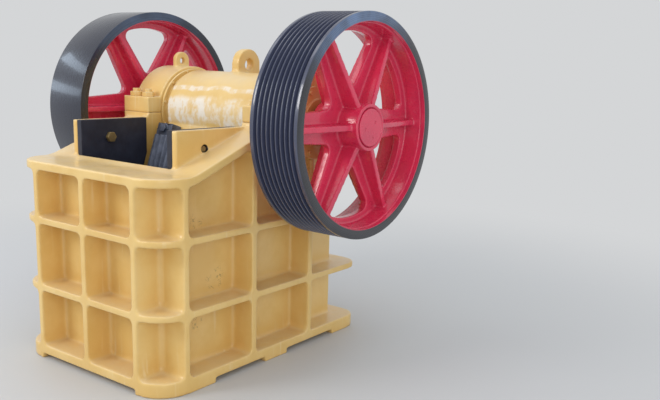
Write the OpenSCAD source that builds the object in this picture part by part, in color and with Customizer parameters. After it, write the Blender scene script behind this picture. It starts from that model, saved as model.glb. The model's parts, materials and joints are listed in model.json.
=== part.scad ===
/* [Crushing chamber] */
// Clear width between the two cheek plates
chamber_w = 600; // [560:10:660]
// Thickness of a cheek plate
cheek_plate_t = 30; // [20:1:36]
// Height of the cheek walls and plates above the ground
cheek_top_z = 1120; // [1112:1:1136]
// Where the cheek walls begin behind the front of the frame
cheek_front_y = 222; // [205:1:224]
// Thickness of a raised cheek wall
cheek_wall_t = 30; // [20:1:40]
// Thickness of a jaw plate with its teeth
jaw_plate_t = 62; // [50:1:75]
// Depth of the teeth of a jaw plate
tooth_h = 20; // [12:1:28]
// Number of teeth across a jaw plate
tooth_count = 15; // [11:1:19]
// Running gap between the swing jaw and the cheek plates, each side
jaw_side_gap = 10; // [7:1:14]
// Height of the bottom of the chamber plates above the ground
chamber_bottom_z = 150; // [130:5:180]
// Distance of the front edge of a cheek plate behind the front edge of its wall
cheek_edge = 3; // [2:1:8]
// Distance of the rear edge of the cheek plates behind the front of the frame
cheek_rear_y = 606; // [596:1:612]
// Distance of the cheek bolts behind the front of the frame
cheek_bolt_y = 385; // [370:1:400]
// Height of the cheek bolts above the ground
cheek_bolt_z = 1034; // [1026:1:1044]
// Radius of a cheek bolt
cheek_bolt_r = 14; // [10:1:16]
// Share of the tooth pitch on each side of a tooth's middle that is flat
tooth_land = 0.18; // [0.1:0.02:0.24]
// Play of the jaw plates at their ends and sides
plate_play = 4; // [2:1:6]

/* [Frame] */
// Depth of the ribs outside the frame walls
rib_depth = 125; // [105:1:140]
// Thickness of a rib
rib_t = 30; // [22:1:38]
// Thickness of a side wall
wall_t = 50; // [40:1:60]
// Thickness of the front wall
front_wall_t = 55; // [45:1:65]
// Outer radius of the front corners
corner_r = 155; // [145:1:165]
// Distance between the upright ribs of the front
front_rib_pitch = 338; // [325:1:345]
// Middle of the first upright side rib behind the front
side_rib_y = 149; // [146:1:155]
// Distance between the upright ribs of a side
side_rib_pitch = 406; // [380:1:415]
// Length of the side walls from the front
wall_len = 1275; // [1265:5:1300]
// How far the base flange and the lower rib reach behind the rear wall
shelf_reach = 110; // [80:5:150]
// Radius of the rear corners of the base flange and the lower rib
shelf_r = 95; // [60:5:100]
// Thickness of the rear wall
rear_wall_t = 60; // [45:1:70]
// Height of the top of the rear wall above the ground
rear_wall_z = 760; // [720:10:820]
// Height of the pads under the base flange
pad_h = 24; // [15:1:30]
// Width of a pad
pad_w = 170; // [140:5:200]
// Length of the front pads
front_pad_len = 310; // [250:10:350]
// Where the middle pads begin behind the front
middle_pad_y = 632; // [600:1:660]
// Length of the middle pads
middle_pad_len = 158; // [120:1:200]
// Length of the rear pads
rear_pad_len = 230; // [180:10:300]
// Thickness of the base flange
flange_t = 44; // [36:1:50]
// Height of the middle of the lower rib above the ground
lower_rib_z = 350; // [330:5:370]
// Height of the middle of the upper rib above the ground
upper_rib_z = 670; // [650:5:690]
// Height of the top of the front rim above the ground
rim_z = 943; // [930:1:955]
// Thickness of the rim
rim_t = 40; // [32:1:46]
// Where the rim starts to rise, behind the front
rim_bend_y = 190; // [185:1:200]
// Half the length of the bend between the level and the rising rim
rim_bend_len = 32; // [15:1:36]
// Slope of the rising rim in degrees
rim_slope = 21; // [19:0.5:22.5]
// Radius of the corners of the pockets between the ribs
pocket_r = 28; // [15:1:35]

/* [Bearings] */
// Distance of the shaft behind the front of the frame
shaft_y = 952; // [945:1:960]
// Height of the shaft above the ground
shaft_z = 1140; // [1130:1:1150]
// Length of a bearing seat along the frame
seat_len = 614; // [600:2:620]
// Width of a bearing housing along the shaft
housing_w = 195; // [180:1:210]
// Depth of a bearing seat below the shaft
seat_h = 155; // [145:1:165]
// Thickness of the foot of a bearing cap
cap_foot_t = 80; // [60:1:90]
// Radius of the round part of a bearing cap
cap_r = 240; // [225:1:245]
// Outer radius of a bearing
bearing_r = 120; // [105:1:125]
// Outer radius of a seal ring
seal_r = 228; // [200:1:235]
// Thickness of a seal ring
seal_t = 28; // [20:1:30]
// Distance of a bearing from the faces of its housing
bearing_inset = 20; // [10:1:30]
// Play of the shaft in the seal rings and covers
shaft_play = 5; // [3:1:8]
// Outer radius of a bearing cover beside a wheel
cover_r = 178; // [160:1:200]
// Distance between the nuts of a cap and the edges of its foot, along the shaft
stud_edge_x = 50; // [45:1:60]
// Distance between the nuts of a cap and the ends of its foot
stud_edge_y = 42; // [38:1:48]
// Radius of a cap stud
stud_r = 18; // [14:1:20]
// Radius of a lifting eye on a cap
cap_eye_r = 47; // [40:1:55]
// Thickness of a lifting eye on a cap
cap_eye_t = 26; // [20:1:34]

/* [Shaft and wheels] */
// Radius of the shaft in the bearings
journal_r = 70; // [60:1:75]
// Radius of the shaft in the wheels
wheel_seat_r = 60; // [50:1:65]
// Radius of the eccentric part of the shaft
eccentric_r = 100; // [95:1:104]
// Offset of the eccentric part from the shaft axis
throw = 12; // [8:1:14]
// Outer radius of both wheels
wheel_r = 525; // [500:1:560]
// Width of both wheels
wheel_w = 266; // [240:2:280]
// Distance between the inner faces of the wheels
wheel_span = 1176; // [1160:2:1200]
// Thickness of a wheel rim
wheel_rim_t = 45; // [36:1:55]
// Number of grooves for the belts
groove_count = 9; // [5:1:9]
// Distance between two grooves
groove_pitch = 26; // [22:0.5:27]
// Depth of a groove
groove_h = 20; // [12:1:24]
// Radius of a hub
hub_r = 110; // [95:1:120]
// Thickness of the web of a wheel
web_t = 40; // [30:1:50]
// Width of a spoke at the hub
spoke_hub_w = 168; // [150:1:180]
// Width of a spoke at the rim
spoke_rim_w = 120; // [100:1:135]
// Thickness of the rib on a spoke
spoke_rib_t = 28; // [20:1:36]
// Width of the band of the web inside the rim
web_band_w = 42; // [30:1:55]
// Half the width of a spoke rib at the hub, along the shaft
spoke_rib_hub_h = 105; // [90:1:115]
// Half the width of a spoke rib at the rim, along the shaft
spoke_rib_rim_h = 70; // [55:1:90]
// Radius of the round corners of the windows between the spokes
window_corner_r = 34; // [26:1:38]
// Radius of the round cap over the shaft end
hub_cap_r = 88; // [80:1:90]
// Depth of the seat of the shaft cap in the hub
hub_cap_seat = 12; // [8:1:16]
// Width of the groove around the shaft cap
hub_groove_w = 6; // [3:1:8]

/* [Swing jaw] */
// Outer radius of the barrel of the swing jaw
barrel_r = 222; // [210:1:225]
// Lean of the swing jaw from upright in degrees
jaw_tilt = 18.4; // [17.5:0.1:19]
// Distance of the teeth of the moving plate in front of the shaft axis
jaw_face_n = 267; // [262:1:272]
// Length of the swing jaw below the shaft axis
jaw_len = 1105; // [1080:5:1120]
// Distance of the top of the moving plate below the shaft axis
plate_top_s = 197; // [190:1:205]
// Thickness of the front slab of the swing jaw
slab_t = 60; // [45:1:70]
// Thickness of a rib at the back of the swing jaw
jaw_rib_t = 30; // [22:1:36]
// Radius of the lifting eye on the jaw
jaw_eye_r = 80; // [70:1:84]
// Thickness of the lifting eye on the jaw
jaw_eye_t = 50; // [40:1:60]
// Depth of the seats of the clamping wedges
clamp_seat = 15; // [8:1:20]
// Width of a clamping wedge
clamp_w = 110; // [90:1:130]
// Thickness of a clamping wedge in front of the jaw
clamp_t = 45; // [35:1:55]
// Radius of the head of a clamping bolt
clamp_bolt_r = 24; // [18:1:30]
// Thickness of the toggle plate
toggle_t = 46; // [36:1:54]
// Distance of the front end of the toggle plate in front of the shaft axis, square to the jaw
toggle_seat_n = 40; // [34:1:48]
// Half the height of the toggle seats
toggle_seat_h = 52; // [46:1:60]
// Play beside the toggle plate and its block
toggle_side_gap = 25; // [15:1:35]
// Length of the toggle block in front of the rear wall
toggle_block_len = 70; // [60:1:90]
// Height of the rear end of the toggle plate above the lower rib
toggle_rise = 50; // [30:1:70]
// Height of the toggle seat above the lower end of the jaw, along the jaw
toggle_seat_up = 145; // [130:1:160]
// Radius of the tension rod
rod_r = 18; // [14:1:22]
// Distance of the tension rod above the lower end of the jaw, along the jaw
rod_boss_up = 45; // [35:1:55]
// Distance of the tension rod below its place on the jaw
rod_drop = 20; // [15:1:25]
// Length of the boss that holds the tension rod
rod_boss_len = 43; // [36:1:60]
// Width of the boss that holds the tension rod
rod_boss_w = 76; // [60:1:90]
// How far the tension rod reaches behind the base flange
rod_reach = 175; // [150:5:200]
// Radius of the wire of the tension spring
spring_wire_r = 7; // [5:0.5:8]
// Number of turns of the tension spring
spring_turns = 7; // [5:1:9]

/* [Hidden] */
$fn = 96;
gap = 0.3;
eps = 1;
big = 4000;

cast_yellow = [0.86, 0.72, 0.42];
plate_steel = [0.16, 0.17, 0.22];
gloss_black = [0.06, 0.07, 0.09];
gloss_red = [0.72, 0.08, 0.14];
bare_steel = [0.55, 0.55, 0.55];

chamber_x = chamber_w / 2;
inner_x = chamber_x + cheek_plate_t;
wall_x = inner_x + wall_t;
rib_x = wall_x + rib_depth;
chamber_y = rib_depth + front_wall_t;
corner_x = rib_x - corner_r;
floor_r = corner_r - rib_depth;
split_y = side_rib_y - rib_t / 2;
flange_z = pad_h + flange_t;
side_rib_ys = [for (i = [0:2]) side_rib_y + i * side_rib_pitch];
last_rib_y = side_rib_ys[2] + rib_t / 2;
bays = [[flange_z, lower_rib_z - rib_t / 2], [lower_rib_z + rib_t / 2, upper_rib_z - rib_t / 2],
    [upper_rib_z + rib_t / 2, rim_z - rim_t]];
seat_front_y = shaft_y - seat_len / 2;
seat_rear_y = shaft_y + seat_len / 2;
seat_bottom_z = shaft_z - seat_h;
corner_pocket_x = front_rib_pitch + rib_t / 2;
plate_front_y = cheek_front_y + cheek_edge;
slab_n = jaw_face_n - jaw_plate_t;
clamp_n = slab_n - clamp_seat;
jaw_half_w = chamber_x - jaw_side_gap;
lip_s = plate_top_s * 0.62;
hub_cap_crown = 2;
rod_washer_t = 14;
rod_nut_len = rod_r * 3.3;
shelf_len = wall_len + shelf_reach;
rod_end_y = shelf_len + rod_reach;
y_mid = rod_end_y / 2;
wheel_x = wheel_span / 2;

function arc(c, r, a0, a1, n) = [for (i = [0:n]) let (a = a0 + (a1 - a0) * i / n) c + r * [cos(a), sin(a)]];
function backward(v) = [for (i = [len(v) - 1:-1:0]) v[i]];
function unit(v) = v / norm(v);
function heading(v) = atan2(v[1], v[0]);
// Smallest turn from one heading to another
function turn(a, b) = let (d = (b - a) % 360) d > 180 ? d - 360 : d < -180 ? d + 360 : d;
// Arc of radius r that rounds the corner q between the points p and s
function corner_arc(p, q, s, r) = let (a = unit(p - q), b = unit(s - q), half = acos(a * b) / 2,
    c = q + unit(a + b) * r / sin(half), t = r / tan(half),
    h0 = heading(q + t * a - c), h1 = heading(q + t * b - c)) arc(c, r, h0, h0 + turn(h0, h1), 6);
function rounded(v, r) = [for (i = [0:len(v) - 1])
    each corner_arc(v[(i + len(v) - 1) % len(v)], v[i], v[(i + 1) % len(v)], r)];

// Height of the rim's upper side at y: level, then a bend, then the slope
function rim_top(y) = let (d = y - rim_bend_y + rim_bend_len)
    rim_z + tan(rim_slope) * (d < 0 ? 0 : d < 2 * rim_bend_len ? d * d / (4 * rim_bend_len) : y - rim_bend_y);
function rim_under(y) = rim_top(y) - rim_t;
// The rim's upper side from y0 back to the bearing seats, lowered by drop
function rim_edge(y0, drop) = [for (y = concat([y0], [for (i = [-4:4]) rim_bend_y + i / 4 * rim_bend_len],
    [seat_front_y])) [y, rim_top(y) - drop]];
function jaw_point(n, s) = [
    shaft_y - n * cos(jaw_tilt) - s * sin(jaw_tilt),
    shaft_z + n * sin(jaw_tilt) - s * cos(jaw_tilt)];

module placed() {
    translate([0, -y_mid, 0]) children();
}

module both_sides() {
    children();
    mirror([1, 0, 0]) children();
}

module along_x(x0, x1) {
    translate([x0, 0, 0]) rotate([90, 0, 90]) linear_extrude(x1 - x0) children();
}

module box(a, b) {
    translate(a) cube([b[0] - a[0], b[1] - a[1], b[2] - a[2]]);
}

// Plan outline whose front corners have radius r, half width hx, from y0 back to y1
module plan_outline(hx, y0, y1, r) {
    translate([-hx + r, y0]) square([2 * (hx - r), y1 - y0]);
    translate([-hx, y0 + r]) square([2 * hx, y1 - y0 - r]);
    for (x = [-1, 1]) translate([x * (hx - r), y0 + r]) circle(r);
}

module wall_plan() {
    plan_outline(wall_x, rib_depth, wall_len, floor_r);
}

module rib_plan(y1) {
    plan_outline(rib_x, 0, y1, corner_r);
}

// Outline of the base flange and the lower rib, round at all four corners
module shelf_plan() {
    intersection() {
        rib_plan(shelf_len);
        mirror([0, 1]) plan_outline(rib_x, -shelf_len, 0, shelf_r);
    }
}

// Fillet in the corner p between edges that leave it at the headings a and b
module corner_fill(p, a, b) {
    u = [cos(a), sin(a)];
    v = [cos(b), sin(b)];
    polygon(concat([p], corner_arc(p + u, p, p + v, pocket_r)));
}

// Rounded rectangle from [u0, v0] to [u1, v1]
module pocket_outline(u0, v0, u1, v1) {
    translate([u0 + pocket_r, v0]) square([u1 - u0 - 2 * pocket_r, v1 - v0]);
    translate([u0, v0 + pocket_r]) square([u1 - u0, v1 - v0 - 2 * pocket_r]);
    for (u = [u0 + pocket_r, u1 - pocket_r], v = [v0 + pocket_r, v1 - pocket_r])
        translate([u, v]) circle(pocket_r);
}

// The belt of ribs in front of the front wall and around the front corners
module front_rib_plan() {
    intersection() {
        difference() {
            rib_plan(wall_len);
            wall_plan();
        }
        translate([-rib_x, 0]) square([2 * rib_x, split_y]);
    }
}

module front_wall() color(cast_yellow) placed() {
    translate([0, 0, flange_z]) linear_extrude(rim_z - rim_t - flange_z) difference() {
        wall_plan();
        translate([-wall_x - eps, split_y]) square([wall_x + eps - inner_x, big]);
        translate([inner_x, split_y]) square([wall_x + eps - inner_x, big]);
        translate([-inner_x - eps, chamber_y]) square([2 * (inner_x + eps), big]);
    }
    for (bay = bays) difference() {
        translate([0, 0, bay[0]]) linear_extrude(bay[1] - bay[0]) front_rib_plan();
        for (x = [-1, 0]) translate([0, rib_depth, 0]) rotate([90, 0, 0]) linear_extrude(rib_depth + eps)
            pocket_outline(x * front_rib_pitch + rib_t / 2, bay[0],
                (x + 1) * front_rib_pitch - rib_t / 2, bay[1]);
        both_sides() box([corner_pocket_x, -eps, bay[0] - eps],
            [rib_x + eps, split_y + eps, bay[1] + eps]);
    }
    for (bay = bays) both_sides() corner_pocket_fillets(bay);
}

// Fillets of a pocket at a round front corner, against the last front rib and the first side rib
module corner_pocket_fillets(bay) intersection() {
    translate([0, 0, bay[0]]) linear_extrude(bay[1] - bay[0]) front_rib_plan();
    union() {
        translate([0, chamber_y, 0]) rotate([90, 0, 0]) linear_extrude(chamber_y) {
            corner_fill([corner_pocket_x, bay[0]], 0, 90);
            corner_fill([corner_pocket_x, bay[1]], -90, 0);
        }
        along_x(inner_x, rib_x + eps) {
            corner_fill([split_y, bay[0]], 90, 180);
            corner_fill([split_y, bay[1]], 180, 270);
        }
    }
}

module side_profile() {
    polygon(concat([[split_y, flange_z], [wall_len, flange_z], [wall_len, seat_bottom_z],
        [seat_front_y, seat_bottom_z]], backward(rim_edge(split_y, rim_t))));
}

// Outline of an upper side pocket, from y0 to y1, that follows the rising rim
module upper_pocket(y0, y1) {
    top = y1 < seat_front_y ? [[y1, rim_under(y1)]]
        : [[y1, seat_bottom_z], [seat_front_y, seat_bottom_z], [seat_front_y, rim_under(seat_front_y)]];
    polygon(rounded(concat([[y0, bays[2][0]], [y1, bays[2][0]]], top, [[y0, rim_under(y0)]]), pocket_r));
}

module side_wall() color(cast_yellow) placed() {
    intersection() {
        along_x(inner_x, wall_x) side_profile();
        linear_extrude(big) wall_plan();
    }
    for (i = [0:2]) difference() {
        intersection() {
            along_x(wall_x, rib_x) side_profile();
            box([wall_x, split_y, bays[i][0]], [rib_x, last_rib_y, i == 2 ? big : bays[i][1]]);
        }
        for (k = [0:1]) if (i < 2) along_x(wall_x, rib_x + eps)
            pocket_outline(side_rib_ys[k] + rib_t / 2, bays[i][0], side_rib_ys[k + 1] - rib_t / 2, bays[i][1]);
        if (i == 2) for (k = [0:1]) along_x(wall_x, rib_x + eps)
            upper_pocket(side_rib_ys[k] + rib_t / 2, side_rib_ys[k + 1] - rib_t / 2);
    }
}

module side_wall_right() side_wall();
module side_wall_left() mirror([1, 0, 0]) side_wall();

rear_rib_x = front_rib_pitch / 2;
rear_rib_top = 18;
rod_hole_r = rod_r + 25;
module rear_wall() color(cast_yellow) placed() {
    difference() {
        box([-inner_x, wall_len - rear_wall_t, flange_z], [inner_x, wall_len, rear_wall_z]);
        translate([0, wall_len + eps, rod_z]) rotate([90, 0, 0])
            cylinder(r = rod_hole_r, h = rear_wall_t + 2 * eps);
    }
    both_sides() along_x(rear_rib_x - rib_t / 2, rear_rib_x + rib_t / 2) {
        translate([wall_len, flange_z]) square([shelf_reach, bays[0][1] - flange_z]);
        polygon([[wall_len, bays[1][0]], [shelf_len, bays[1][0]], [wall_len + rear_rib_top, rear_wall_z],
            [wall_len, rear_wall_z]]);
    }
}

module base_flange() color(cast_yellow) placed() translate([0, 0, pad_h]) linear_extrude(flange_t) difference() {
    shelf_plan();
    translate([-inner_x, chamber_y]) square([2 * inner_x, wall_len - rear_wall_t - chamber_y]);
}

module base_pads() color(cast_yellow) placed() linear_extrude(pad_h) intersection() {
    shelf_plan();
    both_sides() translate([rib_x - pad_w, 0]) {
        square([pad_w, front_pad_len]);
        translate([0, middle_pad_y]) square([pad_w, middle_pad_len]);
        translate([0, shelf_len - rear_pad_len]) square([pad_w, rear_pad_len]);
    }
}

module lower_rib() color(cast_yellow) placed() translate([0, 0, bays[0][1]])
    linear_extrude(rib_t) difference() {
        shelf_plan();
        wall_plan();
    }

module upper_rib() color(cast_yellow) placed() translate([0, 0, bays[1][1]])
    linear_extrude(rib_t) difference() {
        rib_plan(last_rib_y);
        wall_plan();
    }

module top_rim() color(cast_yellow) placed() {
    intersection() {
        translate([0, 0, rim_z - rim_t]) linear_extrude(big) difference() {
            rib_plan(seat_front_y);
            translate([-inner_x, plate_front_y]) square([2 * inner_x, big]);
        }
        along_x(-rib_x, rib_x) polygon(concat(rim_edge(0, 0), backward(rim_edge(0, rim_t))));
    }
}

module cheek_wall() color(cast_yellow) placed() difference() {
    along_x(inner_x, inner_x + cheek_wall_t) difference() {
        translate([cheek_front_y, rim_z]) square([seat_front_y - cheek_front_y, cheek_top_z - rim_z]);
        polygon(concat(rim_edge(0, 0), [[seat_front_y, 0], [0, 0]]));
    }
    cheek_bolt_hole();
}

cheek_bolt_hole_r = cheek_bolt_r + 3;
module cheek_bolt_hole() {
    translate([chamber_x - eps, cheek_bolt_y, cheek_bolt_z]) rotate([0, 90, 0])
        cylinder(r = cheek_bolt_hole_r, h = cheek_plate_t + cheek_wall_t + 2 * eps);
}
module cheek_wall_right() cheek_wall();
module cheek_wall_left() mirror([1, 0, 0]) cheek_wall();

module cheek_plate() color(plate_steel) placed() difference() {
    along_x(chamber_x, inner_x) polygon([[plate_front_y, cheek_top_z], [cheek_rear_y, cheek_top_z],
        [cheek_rear_y, rim_z],
        [cheek_rear_y - tan(jaw_tilt) * (rim_z - chamber_bottom_z), chamber_bottom_z],
        [chamber_y, chamber_bottom_z], [chamber_y, rim_z - rim_t], [plate_front_y, rim_z - rim_t]]);
    cheek_bolt_hole();
}
module cheek_plate_right() cheek_plate();
module cheek_plate_left() mirror([1, 0, 0]) cheek_plate();

bolt_head_h = cheek_bolt_r * 1.3;
bolt_head_r = cheek_bolt_r * 1.93;
module cheek_bolts() color(bare_steel) placed() both_sides()
    translate([chamber_x, cheek_bolt_y, cheek_bolt_z]) rotate([0, 90, 0]) {
        cylinder(r = cheek_bolt_r, h = cheek_plate_t + cheek_wall_t * 0.8);
        translate([0, 0, -bolt_head_h]) rotate(30) cylinder(r = bolt_head_r, h = bolt_head_h, $fn = 6);
    }

// Cross section of a toothed plate: width w, thickness t, teeth toward -Y with their tips at y = 0
module toothed_section(w, t) {
    pitch = w / tooth_count;
    land = pitch * tooth_land;
    polygon(concat([[w / 2, t], [-w / 2, t]],
        [for (i = [0:tooth_count - 1]) let (x = -w / 2 + i * pitch) each [
            [x, tooth_h], [x + pitch / 2 - land, 0], [x + pitch / 2 + land, 0]]],
        [[w / 2, tooth_h]]));
}

module fixed_jaw_plate() color(plate_steel) placed()
    translate([0, chamber_y + jaw_plate_t, chamber_bottom_z]) linear_extrude(rim_z - rim_t - chamber_bottom_z - gap)
        mirror([0, 1]) toothed_section(chamber_w - plate_play, jaw_plate_t);

module seat_profile() {
    difference() {
        translate([seat_front_y, seat_bottom_z]) square([seat_len, seat_h]);
        translate([shaft_y, shaft_z]) circle(bearing_r);
    }
}

module bearing_seat() color(cast_yellow) placed() along_x(inner_x, inner_x + housing_w) seat_profile();
module bearing_seat_right() bearing_seat();
module bearing_seat_left() mirror([1, 0, 0]) bearing_seat();

cap_eye_hole_r = cap_eye_r * 0.34;
cap_eye_z = shaft_z + cap_r + cap_eye_r * 0.6;
cap_eye_root_z = shaft_z + sqrt(cap_r * cap_r - cap_eye_r * cap_eye_r) - eps;
module bearing_cap() color(cast_yellow) placed() {
    difference() {
        along_x(inner_x, inner_x + housing_w) difference() {
            union() {
                translate([seat_front_y, shaft_z]) square([seat_len, cap_foot_t]);
                intersection() {
                    translate([shaft_y, shaft_z]) circle(cap_r);
                    translate([0, shaft_z]) square([big, big]);
                }
            }
            translate([shaft_y, shaft_z]) circle(bearing_r);
        }
    }
    translate([inner_x + housing_w / 2 - cap_eye_t / 2, 0, 0]) along_x(0, cap_eye_t) difference() {
        union() {
            translate([shaft_y, cap_eye_z]) circle(cap_eye_r);
            translate([shaft_y - cap_eye_r, cap_eye_root_z]) square([2 * cap_eye_r, cap_eye_z - cap_eye_root_z]);
        }
        translate([shaft_y, cap_eye_z]) circle(cap_eye_hole_r);
    }
}
module bearing_cap_right() bearing_cap();
module bearing_cap_left() mirror([1, 0, 0]) bearing_cap();

stud_nut_r = stud_r * 1.75;
stud_nut_h = stud_r * 1.3;
stud_h = stud_r * 2.2;
module cap_bolts() color(bare_steel) placed() both_sides()
    for (x = [stud_edge_x, housing_w - stud_edge_x], y = [-1, 1])
        translate([inner_x + x, shaft_y + y * (seat_len / 2 - stud_edge_y), shaft_z + cap_foot_t]) {
            cylinder(r = stud_nut_r, h = stud_nut_h, $fn = 6);
            cylinder(r = stud_r, h = stud_h);
        }

module bearing() color(bare_steel) placed() along_x(inner_x + bearing_inset, inner_x + housing_w - bearing_inset)
    translate([shaft_y, shaft_z]) difference() {
        circle(bearing_r - gap);
        circle(journal_r + gap);
    }
module bearing_right() bearing();
module bearing_left() mirror([1, 0, 0]) bearing();

// The seal ring beside the jaw, and the bearing cover beside the wheel
module seal_ring() color(cast_yellow) placed() {
    translate([inner_x, shaft_y, shaft_z]) rotate([0, -90, 0]) difference() {
        union() {
            cylinder(r = seal_r, h = seal_t / 2);
            cylinder(r = seal_r * 0.9, h = seal_t);
        }
        translate([0, 0, -eps]) cylinder(r = journal_r + shaft_play, h = seal_t + 2 * eps);
    }
    translate([inner_x + housing_w, shaft_y, shaft_z]) rotate([0, 90, 0]) difference() {
        union() {
            cylinder(r = cover_r, h = seal_t / 2);
            cylinder(r = cover_r * 0.65, h = seal_t);
        }
        translate([0, 0, -eps]) cylinder(r = journal_r + shaft_play, h = seal_t + 2 * eps);
    }
}
module seal_ring_right() seal_ring();
module seal_ring_left() mirror([1, 0, 0]) seal_ring();

// The toggle plate runs from p on the jaw up to q on the rear wall
toggle_seat_s = jaw_len - toggle_seat_up;
toggle_p = jaw_point(toggle_seat_n, toggle_seat_s);
toggle_q = [wall_len - rear_wall_t - toggle_block_len, lower_rib_z + toggle_rise];
toggle_slope = heading(toggle_q - toggle_p);
toggle_half_w = chamber_x - 2 * toggle_side_gap;
// The grooves are wider than the round ends, which roll in them
groove_r = toggle_t * 0.75;
groove_mouth = toggle_t / 6;
// Corner of a seat's face: at the end e of the toggle plate, k is 1 above and -1 below it
function seat_corner(e, k, mouth) = e + k * toggle_seat_h * [-sin(toggle_slope), cos(toggle_slope)]
    + mouth * [cos(toggle_slope), sin(toggle_slope)];
// The groove for the round end at e; side is 1 at the jaw and -1 at the rear wall
module toggle_groove(e, side) {
    translate(e) rotate(toggle_slope) translate([side * (groove_r - toggle_t / 2), 0]) circle(groove_r + gap);
}

module toggle_block() color(bare_steel) placed()
    along_x(-inner_x + toggle_side_gap, inner_x - toggle_side_gap) difference() {
        polygon([seat_corner(toggle_q, -1, groove_mouth), seat_corner(toggle_q, 1, groove_mouth),
            [wall_len - rear_wall_t, toggle_q[1] + toggle_seat_h + toggle_side_gap],
            [wall_len - rear_wall_t, toggle_q[1] - toggle_seat_h - toggle_side_gap]]);
        toggle_groove(toggle_q, -1);
    }

module toggle_plate() color(bare_steel) placed() along_x(-toggle_half_w, toggle_half_w)
        translate(toggle_p) rotate(toggle_slope) {
            translate([0, -toggle_t / 2]) square([norm(toggle_q - toggle_p), toggle_t]);
            circle(toggle_t / 2);
            translate([norm(toggle_q - toggle_p), 0]) circle(toggle_t / 2);
        }

// The tension rod is held by a boss at the lower end of the jaw, where its axis starts
rod_start = jaw_point(slab_n - slab_t, jaw_len - rod_boss_up);
rod_z = rod_start[1] - rod_drop;
rod_start_y = rod_start[0] + rod_boss_len;
spring_len = rod_end_y - rod_nut_len - wall_len - 2 * gap;
spring_r = rod_r + 2 + spring_wire_r * 3;
// Points of the spring: rings of 8 points around the wire, 14 rings to a turn, ground flat at both ends
spring_rings = spring_turns * 14;
module tension_spring() color(bare_steel) placed() translate([0, wall_len + gap, rod_z]) rotate([-90, 0, 0]) {
    rise = (spring_len - 2 * spring_wire_r) / spring_rings;
    points = [for (i = [0:spring_rings], k = [0:7])
        let (a = i * 360 / 14, r = spring_r + spring_wire_r * cos(k * 45))
        [r * cos(a), r * sin(a), spring_wire_r + i * rise + spring_wire_r * sin(k * 45)]];
    sides = [for (i = [0:spring_rings - 1], k = [0:7]) let (m = (k + 1) % 8)
        each [[8 * i + k, 8 * i + 8 + k, 8 * i + m], [8 * i + m, 8 * i + 8 + k, 8 * i + 8 + m]]];
    polyhedron(points, concat(sides, [[for (k = [0:7]) k], [for (k = [7:-1:0]) 8 * spring_rings + k]]));
}

// Frame of the swing jaw: its origin is the shaft axis, -Z runs down the jaw, -Y faces the chamber
module jaw_placed() placed() translate([0, shaft_y, shaft_z]) rotate([-jaw_tilt, 0, 0]) children();

jaw_eye_hole_r = jaw_eye_r * 0.375;
jaw_eye_y = jaw_eye_r * 0.775;
jaw_eye_z = barrel_r + jaw_eye_r / 2;
rib_top_s = plate_top_s * 0.7;

// Places its children, drawn in the frame's own place, in the frame of the jaw
module in_jaw_frame() {
    rotate([jaw_tilt, 0, 0]) translate([0, -shaft_y, -shaft_z]) children();
}

module jaw_rib_outline() {
    polygon([[-slab_n + eps, -jaw_len + rod_r], [-toggle_seat_n, -jaw_len + rod_r],
        [-toggle_seat_n + rod_r / 2, -toggle_seat_s + toggle_t], [barrel_r * 0.75, -rib_top_s],
        [0, 0], [-slab_n + slab_t / 2, -plate_top_s]]);
}

module swing_jaw() color(cast_yellow) jaw_placed() {
    difference() {
        union() {
            translate([-jaw_half_w, 0, 0]) rotate([0, 90, 0]) cylinder(r = barrel_r, h = 2 * jaw_half_w);
            along_x(-jaw_half_w, jaw_half_w) polygon([[-slab_n, -plate_top_s], [-slab_n, -jaw_len],
                [-slab_n + slab_t, -jaw_len], [-slab_n + slab_t, -lip_s], [-clamp_n, -lip_s],
                [-clamp_n, -plate_top_s]]);
            for (x = [-1, -1 / 3, 1 / 3, 1]) translate([x * (jaw_half_w - jaw_rib_t / 2), 0, 0])
                along_x(-jaw_rib_t / 2, jaw_rib_t / 2) jaw_rib_outline();
            in_jaw_frame() along_x(-jaw_half_w + plate_play, jaw_half_w - plate_play) polygon([
                jaw_point(slab_n - eps, toggle_seat_s - toggle_seat_h), seat_corner(toggle_p, 1, -groove_mouth),
                seat_corner(toggle_p, -1, -groove_mouth), jaw_point(slab_n - eps, toggle_seat_s + toggle_seat_h)]);
        }
        translate([-big / 2, 0, 0]) rotate([0, 90, 0]) cylinder(r = eccentric_r + throw + gap, h = big);
        in_jaw_frame() along_x(-big / 2, big / 2) toggle_groove(toggle_p, 1);
        in_jaw_frame() along_x(-toggle_half_w - shaft_play, toggle_half_w + shaft_play)
            translate(toggle_p) rotate(toggle_slope) translate([0, -toggle_t])
                square([toggle_t * 4, 2 * toggle_t]);
    }
    in_jaw_frame() along_x(-rod_boss_w / 2, rod_boss_w / 2)
        polygon([jaw_point(slab_n - slab_t + eps, jaw_len - 2 * rod_boss_up),
            [rod_start_y, rod_z + rod_boss_w * 0.4], [rod_start_y, rod_z - rod_boss_w * 0.4],
            jaw_point(slab_n - slab_t + eps, jaw_len - rod_boss_up / 2)]);
    rotate([jaw_tilt, 0, 0]) along_x(-jaw_eye_t / 2, jaw_eye_t / 2) difference() {
        union() {
            translate([jaw_eye_y, jaw_eye_z]) circle(jaw_eye_r);
            translate([jaw_eye_y - jaw_eye_r, barrel_r * 0.75])
                square([2 * jaw_eye_r, jaw_eye_z - barrel_r * 0.75]);
        }
        translate([jaw_eye_y, jaw_eye_z]) circle(jaw_eye_hole_r);
    }
}

module moving_jaw_plate() color(plate_steel) jaw_placed()
    translate([0, -jaw_face_n, -jaw_len + plate_play]) linear_extrude(jaw_len - plate_play - plate_top_s)
        toothed_section(2 * (jaw_half_w - plate_play), jaw_plate_t);

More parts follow.
